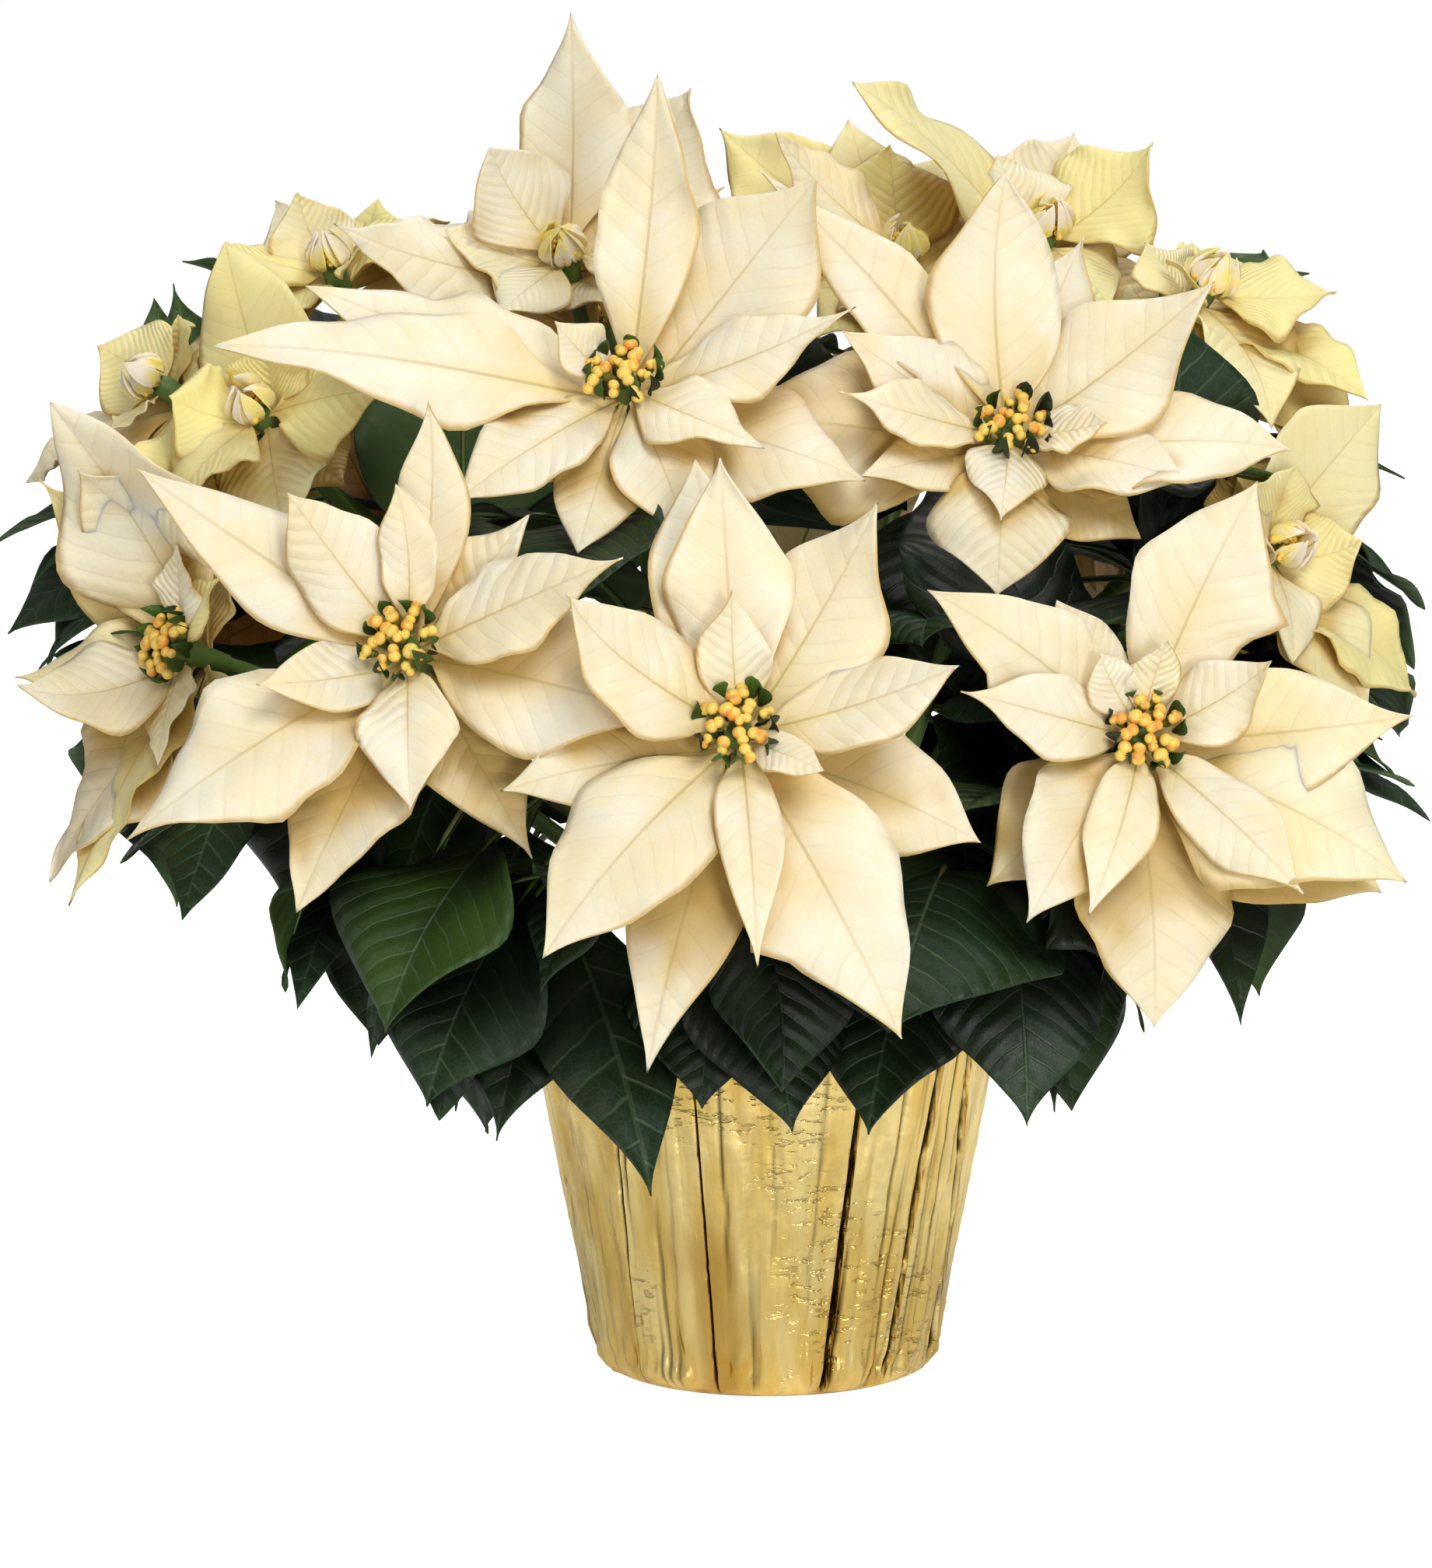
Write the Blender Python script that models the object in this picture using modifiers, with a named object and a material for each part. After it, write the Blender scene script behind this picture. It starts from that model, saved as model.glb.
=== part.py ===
"""A potted white poinsettia: three rooted plants in one nursery pot, wrapped in pleated gold foil.

Every leaf and bract is a blade: a lens-shaped sheet that runs from its base to its tip, bowed towards
its upper face. Blades are placed one at a time, and one that would cross a neighbour is bent clear of it.
"""

import math
import random

import bmesh
import bpy
import numpy as np
from mathutils import Matrix, Vector
from mathutils.bvhtree import BVHTree

MM = 0.001
UP = np.array([0.0, 0.0, 1.0])
SEAT_GAP = 0.0003

# Foil wrap: a pleated shell with a flat foot
FOIL_FOOT_RADIUS = 0.0575
FOIL_BASE_RADIUS = 0.0628
FOIL_SLOPE = 0.19
FOIL_HEIGHT = 0.142
FOIL_THICKNESS = 0.0008
FOIL_CORNER_HEIGHT = 0.006

# Each fold of the foil: degrees round from the front at the rim and at the foot, and its depth in mm
FOIL_FOLDS = (
    (-172, -170, 1.6), (-144, -148, 2.0), (-118, -114, 1.4), (-80, -76, 1.2), (-40, -45, 1.9),
    (-18, -16, 1.1), (25, 20, 1.8), (48, 44, 2.2), (58, 72, 2.4), (88, 92, 1.6), (124, 120, 2.0),
    (160, 164, 1.4),
)
PANEL_COLUMNS = (0.0, 0.32, 0.64, 0.95)
PANEL_LIP = 0.0009

# Nursery pot of 164 mm, standing inside the foil
POT_RADIUS_TOP = 0.0795
POT_RADIUS_BASE = 0.0555
POT_HEIGHT = 0.127
POT_WALL = 0.0016
POT_LIP_WIDTH = 0.0022
POT_LIP_HEIGHT = 0.011
POT_SIDES = 20

# Potting mix, with one plain hole for each plant
SOIL_TOP = 0.116
SOIL_MOUND = 0.004
HOLE_DEPTH = 0.040
HOLE_SIDES = 8
TRUNK_RADIUS = 0.0048
FORK_HEIGHT = 0.150
FORK_STEP = 0.004
BRANCH_SHARES = np.array([0.0, 0.33, 0.67, 0.97, 1.0])
BRANCH_NECK = 0.007
BRANCH_RADIUS = 0.0036
BRANCH_TIP_RADIUS = 0.0029
TRUNKS = {"left": (-0.024, -0.014), "right": (0.024, -0.014), "back": (0.000, 0.028)}

# Bloom: a short hub that carries the bracts, with the small true flowers on it
HUB_RADIUS = 0.0050
HUB_LENGTH = 0.022
HUB_SIDES = 6
BRACT_SEAT = -0.0030
BRACT_TOP_DEPTH = 0.0030
BRACT_LOW_DEPTH = 0.0185
CLUSTER_BEADS = 5
CLUSTER_RINGS = (
    (0.0034, 0.0034, 0.0000, 0.0000),
    (0.0118, 0.0078, 0.0054, 0.0040),
    (0.0100, 0.0072, 0.0098, 0.0060),
    (0.0050, 0.0046, 0.0068, 0.0060),
)
CLUSTER_TOP = 0.0106

# Blades
RIB_HALF_THICKNESS = 0.0008
ROOT_HALF_THICKNESS = 0.0011
STALK_HALF_WIDTH = 0.0015
FULLNESS = 1.08
BRACT_STALK = 0.008
CUPPED_FROM = 0.15
CUPPING = 1.1
LEAF_STALK = 0.036
TINY_BRACT_ROWS = (0.52,)
SMALL_BRACT_ROWS = (0.36, 0.70)
BRACT_ROWS = (0.24, 0.50, 0.78)
LONG_BRACT_ROWS = (0.20, 0.42, 0.66, 0.86)
TOOTHED_BRACT_ROWS = (0.22, 0.44, 0.58, 0.67, 0.85)
TINY_BRACT = 0.034
SMALL_BRACT = 0.060
LONG_BRACT = 0.098
LEAF_ROWS = (0.28, 0.55, 0.82)
PLAIN_LEAF_ROWS = (0.34, 0.70)
TOOTHED_LEAF_ROWS = (0.28, 0.56, 0.66, 0.86)
NARROW_LEAF = 0.062
TOOTH_PLACE = 0.56
TOOTH_REACH = 0.30
CLEARANCE = 0.0012
OWN_CLEARANCE = 0.0002

# Each bloom: name, plant, hub in mm, facing (degrees round from the front, degrees up)
BLOOMS = (
    ("front", "left", (-11, -175, 255), (-3, 28)),
    ("front_left", "left", (-124, -150, 281), (-16, 25)),
    ("front_right", "right", (127, -140, 250), (12, 24)),
    ("upper_left", "left", (-50, -100, 369), (-5, 42)),
    ("upper_right", "right", (85, -85, 351), (8, 38)),
    ("far_left", "left", (-212, -50, 272), (-52, 18)),
    ("left_mid", "left", (-184, -30, 356), (-36, 38)),
    ("left_high", "back", (-228, 40, 364), (-72, 30)),
    ("left_crown", "back", (-162, 45, 408), (-35, 64)),
    ("crown_left", "back", (-74, 15, 412), (-12, 44)),
    ("crown_mid", "right", (52, 30, 413), (4, 52)),
    ("crown_right", "right", (106, 55, 421), (20, 52)),
    ("right_high", "right", (163, 20, 400), (48, 52)),
    ("right_low", "right", (184, -42, 307), (50, 24)),
    ("back_left", "back", (-148, 132, 300), (-138, 26)),
    ("back_mid", "back", (2, 178, 268), (178, 24)),
    ("back_right", "right", (150, 128, 290), (136, 26)),
    ("back_crown_left", "back", (-62, 112, 384), (-160, 52)),
    ("back_crown_right", "back", (74, 118, 380), (152, 50)),
)

# Bracts of the blooms that show in the photo, the centre's first. Each has its tip from the middle of
# the flowers in mm to the right, up and towards the front, then its width in mm and its toothed edge
BRACTS = {
    "front": (
        (-52, 49, 38, 39, 0), (-7, 45, 20, 24, 0), (72, 25, 30, 30, 0), (28, -10, 25, 15, 0),
        (6, -74, 36, 22, 0), (43, 78, 16, 45, 0), (-65, -71, 32, 50, 0), (54, -99, 24, 52, 1),
        (4, 93, 0, 40, 0), (-31, -113, 8, 40, 0), (-80, -15, 4, 36, 0), (83, -30, 4, 46, 0),
        (-15, 94, -24, 44, 0),
    ),
    "front_left": (
        (-5, 53, 20, 20, 0), (3, -52, 30, 32, 0), (-39, 53, 8, 34, 0), (74, 33, 32, 36, 0),
        (-86, 64, 22, 34, 0), (5, 84, 10, 26, 0), (92, -22, 26, 50, 0), (-93, -61, 28, 52, 0),
        (36, 49, 4, 34, 0), (-38, -87, 16, 46, 0), (-56, -9, 16, 28, 0), (41, -70, 2, 38, 0),
    ),
    "front_right": (
        (-7, 26, 22, 18, 0), (8, 29, 22, 18, 0), (-20, -57, 34, 24, 0), (-63, 18, 28, 30, 0),
        (42, 28, 22, 28, 0), (53, -50, 30, 30, 0), (-40, -60, 28, 42, 0), (39, 88, 4, 48, 1),
        (89, 15, 22, 48, 0), (-73, 52, 12, 36, -1), (-26, 48, 6, 30, 0), (5, -97, 16, 54, 0),
        (91, -43, 4, 46, 0), (-51, -48, 10, 42, 0), (93, -44, 3, 55, 0),
    ),
    "upper_left": (
        (-19, 24, 12, 22, 0), (48, -21, 30, 30, 0), (22, -52, 32, 36, 0), (-16, -56, 32, 32, 0),
        (-58, -38, 32, 34, 0), (76, 33, 18, 32, 0), (11, 109, -8, 35, 0), (-142, 16, 16, 46, 0),
        (-55, -27, 14, 38, 0), (83, -30, 8, 48, 0), (-111, 44, -10, 44, 1),
    ),
    "upper_right": (
        (-5, -29, 26, 28, 0), (33, 5, 18, 24, 0), (-61, 16, 26, 28, 0), (-6, -54, 28, 46, 0),
        (-2, 92, -2, 46, 0), (67, 57, 14, 46, 0), (-53, 43, 12, 40, 0), (61, -14, 16, 40, 0),
        (-53, -12, 18, 28, 0), (-88, 95, -26, 32, 0), (47, -31, 8, 40, 0), (28, 72, -28, 42, 0),
        (-95, 24, 24, 58, 0), (99, -5, -24, 49, 0),
    ),
    "far_left": (
        (-3, 38, 10, 24, 0), (19, 29, 14, 22, 0), (-6, -39, 28, 28, 0), (-41, 62, 4, 54, 0),
        (-58, -15, 18, 42, 0), (-48, -86, 18, 46, 0), (18, -34, 14, 26, 0), (-35, 39, -18, 30, 0),
        (10, 31, -18, 26, 0), (-32, -50, -8, 34, 0), (-65, -13, -20, 40, 0),
    ),
    "left_mid": (
        (49, 9, 22, 46, 0), (-30, -33, 22, 44, 0), (11, -39, 30, 44, 0), (-28, 14, 14, 44, 0),
        (-61, -22, 6, 50, 0), (0, 28, 0, 38, 0), (31, 22, -6, 36, 0), (-21, 28, -14, 34, 0),
        (-11, -47, 6, 40, 0), (29, -22, 14, 34, 0), (-23, 60, -33, 45, 0),
    ),
    "left_high": (
        (-28, 5, 4, 42, 0), (-19, -16, 10, 30, 0), (-28, 16, -14, 40, 0), (-3, 29, -20, 30, 0),
        (28, 28, 0, 34, 0), (7, 42, -34, 34, 0), (-15, -28, -14, 32, 0), (23, -7, 16, 34, 0),
        (4, -20, 22, 34, 0), (-52, -45, -38, 48, 0),
    ),
    "left_crown": (
        (-4, 13, 16, 24, 0), (10, 11, 14, 24, 0), (-40, 11, 6, 34, 0), (-13, 33, 0, 36, 0),
        (-27, -14, 22, 34, 0), (40, 24, -10, 42, 0), (-43, -14, 6, 34, 0), (38, -5, 10, 34, 0),
        (9, 38, -36, 38, 0), (-27, 31, -40, 36, 0), (5, -24, 26, 36, 0),
    ),
    "crown_left": (
        (9, 19, 20, 30, 0), (-24, -20, 24, 30, 0), (-28, 41, 6, 42, 0), (39, 68, 2, 58, 1),
        (1, 92, -22, 40, 0), (-45, 12, 4, 40, 0), (58, 28, -12, 38, 0), (44, -1, -4, 34, 0),
        (-38, 20, -30, 34, 0), (-16, 40, -54, 38, 0), (28, 38, -60, 36, 0), (21, -19, 18, 32, 0),
        (-85, 24, 25, 46, 0), (99, -8, -8, 60, 0),
    ),
    "crown_mid": (
        (6, 11, 18, 26, 0), (-7, 11, 16, 24, 0), (-55, 34, 20, 38, 0), (-4, 48, -24, 50, 0),
        (29, 32, -14, 40, 0), (-64, 60, -18, 58, 0), (-1, -30, 34, 46, 0), (35, -1, 20, 38, 0),
        (-34, -27, 24, 38, 0), (-30, 58, -44, 46, 0), (21, 56, -52, 44, 0),
    ),
    "crown_right": (
        (4, 10, 14, 24, 0), (-7, 10, 14, 22, 0), (23, -27, 26, 38, 0), (41, 36, -4, 56, 0),
        (-17, 32, -10, 44, 0), (49, -20, 14, 38, 0), (-6, -25, 28, 42, 0), (16, 46, -44, 46, 0),
        (-22, 14, -48, 38, 0), (39, 4, -44, 40, 0),
    ),
    "right_high": (
        (-6, 11, 16, 26, 0), (49, 0, 2, 58, 0), (63, -72, 10, 62, 0), (11, -61, 38, 46, 0),
        (-17, -43, 30, 36, 0), (30, -53, 34, 50, 0), (-20, 21, -8, 44, 0), (24, 21, -36, 44, 0),
        (66, -30, -20, 52, 0), (-29, -14, 4, 36, 0), (77, -46, -42, 56, 0),
    ),
    "right_low": (
        (-8, 15, 20, 26, 0), (12, 30, 4, 40, 0), (-15, -27, 26, 30, 0), (1, -40, 28, 32, 0),
        (-25, 8, 12, 28, 0), (44, -53, 14, 50, 0), (34, -4, 0, 40, 0), (30, 17, -30, 38, 0),
        (20, 39, -38, 38, 0), (45, -29, -28, 38, 0), (-12, 32, -10, 36, 0), (59, -53, -22, 50, 0),
    ),
}

# A bloom with no rows above has its bracts by rule, in a spiral from the centre out
RULE_COUNT = 10
RULE_LENGTH = (0.058, 0.104)
RULE_WIDTH_SHARE = 0.47
RULE_LIFT = (34.0, 2.0)
GOLDEN_ANGLE = 137.5

# Leaves placed by hand: branch, share of the branch, tip in mm, width in mm, toothed edge
LEAVES = (
    ("far_left", 0.42, (-41, -130, 88), 54, 0), ("front_left", 0.52, (-132, -142, 147), 68, 0),
    ("front_left", 0.42, (-119, -122, 118), 70, 0), ("front", 0.60, (4, -144, 127), 46, 0),
    ("front", 0.45, (8, -132, 111), 62, 0), ("front_right", 0.36, (32, -130, 116), 54, 0),
    ("front_right", 0.52, (89, -132, 113), 58, 0), ("right_low", 0.42, (100, -110, 114), 50, 0),
    ("right_low", 0.66, (166, -100, 143), 42, 0), ("front_right", 0.30, (53, -112, 142), 56, 0),
    ("far_left", 0.86, (-206, -98, 180), 38, 1), ("far_left", 0.62, (-166, -96, 148), 34, 0),
    ("front_left", 0.66, (-147, -112, 138), 30, 0), ("left_high", 0.80, (-267, -12, 261), 46, 1),
    ("left_high", 0.86, (-272, 12, 291), 30, 0), ("right_low", 0.74, (226, -48, 226), 44, 1),
    ("right_high", 0.66, (224, 0, 285), 40, 0), ("right_high", 0.78, (239, 30, 329), 32, 0),
    ("right_low", 0.55, (190, -84, 282), 38, 0), ("left_crown", 0.86, (-240, 64, 380), 54, 0),
    ("upper_left", 0.74, (-150, -62, 312), 56, 0), ("crown_mid", 0.86, (-36, -58, 391), 34, 0),
    ("upper_right", 0.62, (53, -104, 277), 54, 0), ("front_right", 0.62, (67, -134, 223), 46, 0),
    ("upper_left", 0.48, (-84, -94, 307), 52, 0), ("upper_right", 0.48, (20, -80, 313), 52, 0),
    ("front", 0.70, (-78, -150, 163), 46, 0), ("far_left", 0.30, (-84, -104, 108), 58, 0),
    ("front", 0.34, (-24, -124, 122), 56, 0), ("crown_left", 0.80, (10, 62, 380), 58, 0),
    ("crown_mid", 0.74, (-12, 22, 350), 56, 0), ("back_crown_right", 0.78, (6, 62, 338), 56, 0),
    ("back_mid", 0.34, (-8, 138, 112), 62, 0), ("back_mid", 0.44, (44, 146, 128), 60, 1),
    ("back_right", 0.34, (92, 118, 114), 62, 0), ("back_left", 0.34, (-90, 122, 112), 62, 0),
    ("back_left", 0.46, (-142, 78, 132), 60, 0), ("back_right", 0.46, (146, 66, 130), 60, 1),
    ("left_high", 0.34, (-138, 14, 128), 58, 0), ("right_high", 0.34, (140, -10, 126), 58, 0),
    ("back_mid", 0.56, (-48, 160, 150), 58, 0),
    ("crown_right", 0.72, (71, -41, 252), 70, 0), ("left_mid", 0.5, (-141, -46, 127), 72, 0),
    ("left_mid", 0.8, (-172, -68, 179), 76, 0), ("front_right", 0.75, (183, -6, 139), 70, 0),
    ("left_crown", 0.43, (-71, -70, 320), 74, 0), ("far_left", 0.36, (-102, -32, 92), 67, 0),
    ("left_high", 0.86, (-270, 54, 262), 61, 0), ("front_right", 0.49, (119, -24, 119), 56, 0),
    ("far_left", 0.87, (-256, 14, 187), 66, 0), ("right_low", 0.77, (194, 30, 150), 74, 0),
    ("crown_mid", 0.53, (10, -36, 408), 76, 0), ("far_left", 0.97, (-253, 32, 202), 56, 0),
)

# The other leaves are placed by rule at these shares of each branch
RULE_LEAF_SHARES = {"back": (0.54, 0.78), "side": (0.44, 0.70), "front": ()}
RULE_LEAF_LENGTH = (0.112, 0.146)
RULE_LEAF_WIDTH_SHARE = 0.56

# Bends tried on a blade that would cross another: lift and turn in degrees, then a shorter blade.
# Past a slight bend, a bract may touch the others of its own bloom, but never another node
LIFTS = (0, 5, -5, 10, -10, 15, -15, 21, -21, 28)
TURNS = (0, 6, -6, 12, -12)
SHARES = (1.0, 0.88, 0.76, 0.62, 0.48)
SLIGHT = 4.5

CREAM = (0.93, 0.87, 0.70, 1.0)
LEAF_GREEN = (0.035, 0.085, 0.022, 1.0)
FLOWER_YELLOW = (0.80, 0.55, 0.08, 1.0)
FOIL_GOLD = (0.80, 0.62, 0.27, 1.0)
POT_BROWN = (0.16, 0.07, 0.04, 1.0)
SOIL_BROWN = (0.045, 0.028, 0.018, 1.0)


def unit(vector):
    return vector / np.linalg.norm(vector)


def turned(vector, axis, degrees):
    """The vector turned about a unit axis."""
    angle = math.radians(degrees)
    along = axis * np.dot(axis, vector)
    return along + (vector - along) * math.cos(angle) + np.cross(axis, vector) * math.sin(angle)


def bezier(points, share):
    """Places on a cubic curve, and its unit tangents there."""
    a, b, c, d = points
    t = np.asarray(share)[:, None]
    s = 1.0 - t
    place = a * s**3 + 3 * b * s * s * t + 3 * c * s * t * t + d * t**3
    slope = 3 * ((b - a) * s * s + 2 * (c - b) * s * t + (d - c) * t * t)
    return place, slope / np.linalg.norm(slope, axis=1)[:, None]


class Blade:
    """A leaf or bract: its base, tip and upper face, and the form between them."""

    def __init__(self, node, base, tip, face, width, stalk, bow, rows, chance, tooth=0):
        self.node = node
        self.rows = rows
        self.base = base
        self.tip = tip
        self.face = face
        self.width = FULLNESS * width
        self.stalk = stalk
        self.bow = bow
        self.tooth = tooth
        self.widest = chance.uniform(0.38, 0.52)
        self.fold = chance.uniform(0.10, 0.34)
        self.arch = chance.uniform(0.10, 0.30)
        self.wave = chance.uniform(0.07, 0.18) * width
        self.phase = chance.uniform(0.0, 2 * math.pi)
        self.twist = chance.uniform(-14.0, 14.0)
        self.taper = chance.uniform(2.3, 3.0)
        self.sweep = chance.uniform(-0.09, 0.09)
        self.droop = chance.uniform(1.0, 2.0)

    def bent(self, lift, turn, share):
        """A copy with its tip raised, turned sideways and drawn in."""
        chord = self.tip - self.base
        face = unit(self.face - unit(chord) * np.dot(self.face, unit(chord)))
        side = np.cross(unit(chord), face)
        chord = turned(turned(chord, side, lift), face, turn) * share
        copy = Blade.__new__(Blade)
        copy.__dict__.update(self.__dict__)
        copy.tip = self.base + chord
        copy.face = turned(face, side, lift)
        copy.width = self.width * (0.5 + 0.5 * share)
        return copy

    def stalk_share(self):
        return self.stalk / float(np.linalg.norm(self.tip - self.base))

    def half_width(self, share):
        """Half the width at each share of the length: a thin stalk, then an oval with a drawn-out tip."""
        start = self.stalk_share()
        t = np.clip((share - start) / (1.0 - start), 0.0, 1.0)
        rise, fall = self.taper * self.widest, self.taper * (1.0 - self.widest)
        oval = t**rise * (1.0 - t) ** fall / (self.widest**rise * (1.0 - self.widest) ** fall)
        thin = STALK_HALF_WIDTH * np.clip((1.0 - share) * 4.0, 0.0, 1.0)
        return np.maximum(thin, oval * self.width / 2)

    def tooth_reach(self, share, side):
        """How far the pointed lobe on one edge stands out, as a share of the half width there."""
        if side != self.tooth:
            return np.zeros_like(share)
        start = self.stalk_share()
        t = (share - start) / (1.0 - start) - TOOTH_PLACE
        rise = np.clip(1.0 + t / 0.13, 0.0, 1.0) * (t <= 0)
        fall = np.clip(1.0 - t / 0.075, 0.0, 1.0) * (t > 0)
        return TOOTH_REACH * (rise + fall)

    def surface(self, along, across):
        """Points of the middle surface, its unit normals, and how far each is from rib (0) to edge (1)."""
        chord = self.tip - self.base
        length = float(np.linalg.norm(chord))
        forward = chord / length
        face = unit(self.face - forward * np.dot(self.face, forward))
        across_rib = np.cross(forward, face)
        start = unit(forward + self.bow * face) + self.sweep * across_rib
        end = unit(forward - self.bow * self.droop * face) - self.sweep * across_rib
        curve = (self.base, self.base + start * length * 0.36, self.tip - end * length * 0.36, self.tip)
        along = np.asarray(along, float)
        place, ahead = bezier(curve, along)
        side = np.tile(across_rib, (len(along), 1))
        normal = np.cross(side, ahead)
        angle = np.radians(self.twist) * (along - self.stalk_share())[:, None] * 1.4
        side, normal = (
            side * np.cos(angle) + normal * np.sin(angle),
            normal * np.cos(angle) - side * np.sin(angle),
        )
        half = self.half_width(along)
        points = []
        for v in across:
            reach = 1.0 + self.tooth_reach(along, int(np.sign(v))) * abs(v) ** 2
            out = half * v * reach * math.cos(self.fold)
            raised = half * abs(v) * (math.sin(self.fold) - self.arch * abs(v))
            open_part = np.clip((along - self.stalk_share()) * 4.0, 0.0, 1.0) * (1.0 - along) ** 0.5
            ripple = self.wave * open_part * v * v * np.sin(2 * math.pi * 1.7 * along + self.phase + 2.0 * v)
            points.append(place + side * out[:, None] + normal * (raised + ripple)[:, None])
        return np.stack(points, axis=1), normal

    def stations(self):
        """The shares of the length where the solid has its rows of points."""
        if self.node.startswith("plant"):
            start = self.stalk_share()
            return np.array([0.0, start, *(start + (1.0 - start) * t for t in self.rows), 1.0])
        return np.array([0.0, *self.rows, 1.0])

    def shell(self, spare=0.0):
        """The solid's two faces as grids of points, equal along their rims. A bract starts at a point."""
        along = self.stations()
        middle, normal = self.surface(along, (-1.0, 0.0, 1.0))
        thick = np.full(len(along), RIB_HALF_THICKNESS + spare)
        thick[1] = ROOT_HALF_THICKNESS + spare
        thick[-1] = 0.0
        if not self.node.startswith("plant"):
            middle[0] = self.base
            thick[0] = 0.0
        rib = np.array([0.0, 1.0, 0.0])[None, :, None]
        offset = normal[:, None, :] * thick[:, None, None] * rib
        return middle + offset, middle - offset


def grid_faces(rows, columns):
    """Triangles of a grid of points, the same way up on both faces of a blade."""
    faces = []
    for i in range(rows - 1):
        for j in range(columns - 1):
            a, b = i * columns + j, i * columns + j + 1
            c, d = a + columns, b + columns
            faces += [(a, b, d), (a, d, c)]
    return faces


class Obstacle:
    """A shape that blades keep clear of, with the ball that holds it."""

    def __init__(self, node, points, faces):
        self.node = node
        self.tree = BVHTree.FromPolygons([tuple(p) for p in points], faces)
        self.centre = points.mean(axis=0)
        self.radius = float(np.linalg.norm(points - self.centre, axis=1).max())

    def near(self, other):
        return np.linalg.norm(self.centre - other.centre) < self.radius + other.radius

    def crosses(self, other):
        return self.near(other) and bool(self.tree.overlap(other.tree))


def blade_obstacle(blade, spare, first_row=0):
    top, under = blade.shell(spare)
    top, under = top[first_row:], under[first_row:]
    rows = len(top)
    faces = grid_faces(rows, 3)
    points = np.concatenate([top.reshape(-1, 3), under.reshape(-1, 3)])
    return Obstacle(blade.node, points, faces + [tuple(i + 3 * rows for i in f) for f in faces])


def ring_obstacle(node, centres, axes, radii, sides=6):
    """A tube through rings of points with both ends shut, such as a stem or a flower cluster."""
    points = []
    for centre, axis, radius in zip(centres, axes, radii):
        first = unit(np.cross(axis, UP + 0.1 * np.array([1.0, 0.3, 0.0])))
        second = np.cross(axis, first)
        for k in range(sides):
            angle = 2 * math.pi * k / sides
            points.append(centre + radius * (first * math.cos(angle) + second * math.sin(angle)))
    faces = []
    for i in range(len(centres) - 1):
        for k in range(sides):
            a, b = i * sides + k, i * sides + (k + 1) % sides
            faces.append((a, b, b + sides, a + sides))
    faces += [tuple(range(sides)), tuple(range(len(points) - sides, len(points)))]
    return Obstacle(node, np.array(points), faces)


def bend_size(bend):
    """How far a bend takes a blade from its place, on one scale."""
    lift, turn, share = bend
    return abs(lift) / 5 + abs(turn) / 4 + (1 - share) * 34


def bends():
    """Every bend to try, the slightest first."""
    tries = [(lift, turn, share) for share in SHARES for lift in LIFTS for turn in TURNS]
    return sorted(tries, key=lambda bend: (bend_size(bend), bend))


BENDS = bends()
SLIGHT_BENDS = [bend for bend in BENDS if bend_size(bend) < SLIGHT]


class Arrangement:
    """Blades placed so far, with everything that a new one has to miss."""

    def __init__(self):
        self.blades = []
        self.whole = []
        self.outer = []
        self.fixed = []

    def clear(self, blade, own_node_too):
        whole = blade_obstacle(blade, CLEARANCE)
        if any(o.node != blade.node and o.crosses(whole) for o in self.fixed + self.whole):
            return None
        outer = blade_obstacle(blade, OWN_CLEARANCE, 1)
        if own_node_too and any(o.node == blade.node and o.crosses(outer) for o in self.outer):
            return None
        return whole, outer

    def place(self, blade):
        """Adds the blade with the least bend that clears the others, or leaves it out."""
        for own_node_too, tries in ((True, SLIGHT_BENDS), (False, BENDS)):
            for bend in tries:
                bent = blade.bent(*bend)
                shapes = self.clear(bent, own_node_too)
                if shapes:
                    self.blades.append(bent)
                    self.whole.append(shapes[0])
                    self.outer.append(shapes[1])
                    return


def facing(azimuth, elevation):
    a, e = math.radians(azimuth), math.radians(elevation)
    return np.array([math.sin(a) * math.cos(e), -math.cos(a) * math.cos(e), math.sin(e)])


class Bloom:
    """One flower head: where its hub is, which way it faces, and the branch that carries it."""

    def __init__(self, index, name, plant, hub, turned_to):
        self.index = index
        self.name = name
        self.plant = plant
        self.hub = np.array(hub) * MM
        self.axis = facing(*turned_to)
        self.azimuth, self.tilt = turned_to

    def branch(self):
        """Points and directions along the branch, from the fork to the underside of the hub."""
        x, y = TRUNKS[self.plant]
        fork = np.array([x, y, FORK_HEIGHT + FORK_STEP * (self.index % 4)])
        end = self.hub - self.axis * (HUB_LENGTH + SEAT_GAP)
        neck = end - self.axis * BRANCH_NECK
        reach = float(np.linalg.norm(neck - fork))
        outward = unit((neck - fork) * np.array([1.0, 1.0, 0.0]) + UP * reach * 0.9)
        bend = (fork, fork + outward * reach * 0.34, neck - self.axis * reach * 0.34, neck)
        points, ahead = bezier(bend, BRANCH_SHARES[:-1] / BRANCH_SHARES[-2])
        return np.vstack([points, end]), np.vstack([ahead, self.axis])

    def on_branch(self, share):
        """The place at a share of the branch, on the straight stretch between two of its points."""
        points, _ = self.branch()
        return np.array([np.interp(share, BRANCH_SHARES, points[:, k]) for k in range(3)])


def bract_by_hand(bloom, order, count, row, chance):
    """A bract whose tip is read from the photo, as an offset from the middle of the flowers."""
    right, high, front, width, tooth = row
    chord = np.array([right, -front, high]) * MM
    return new_bract(bloom, order, count, chord, width * MM, tooth, chance)


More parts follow.
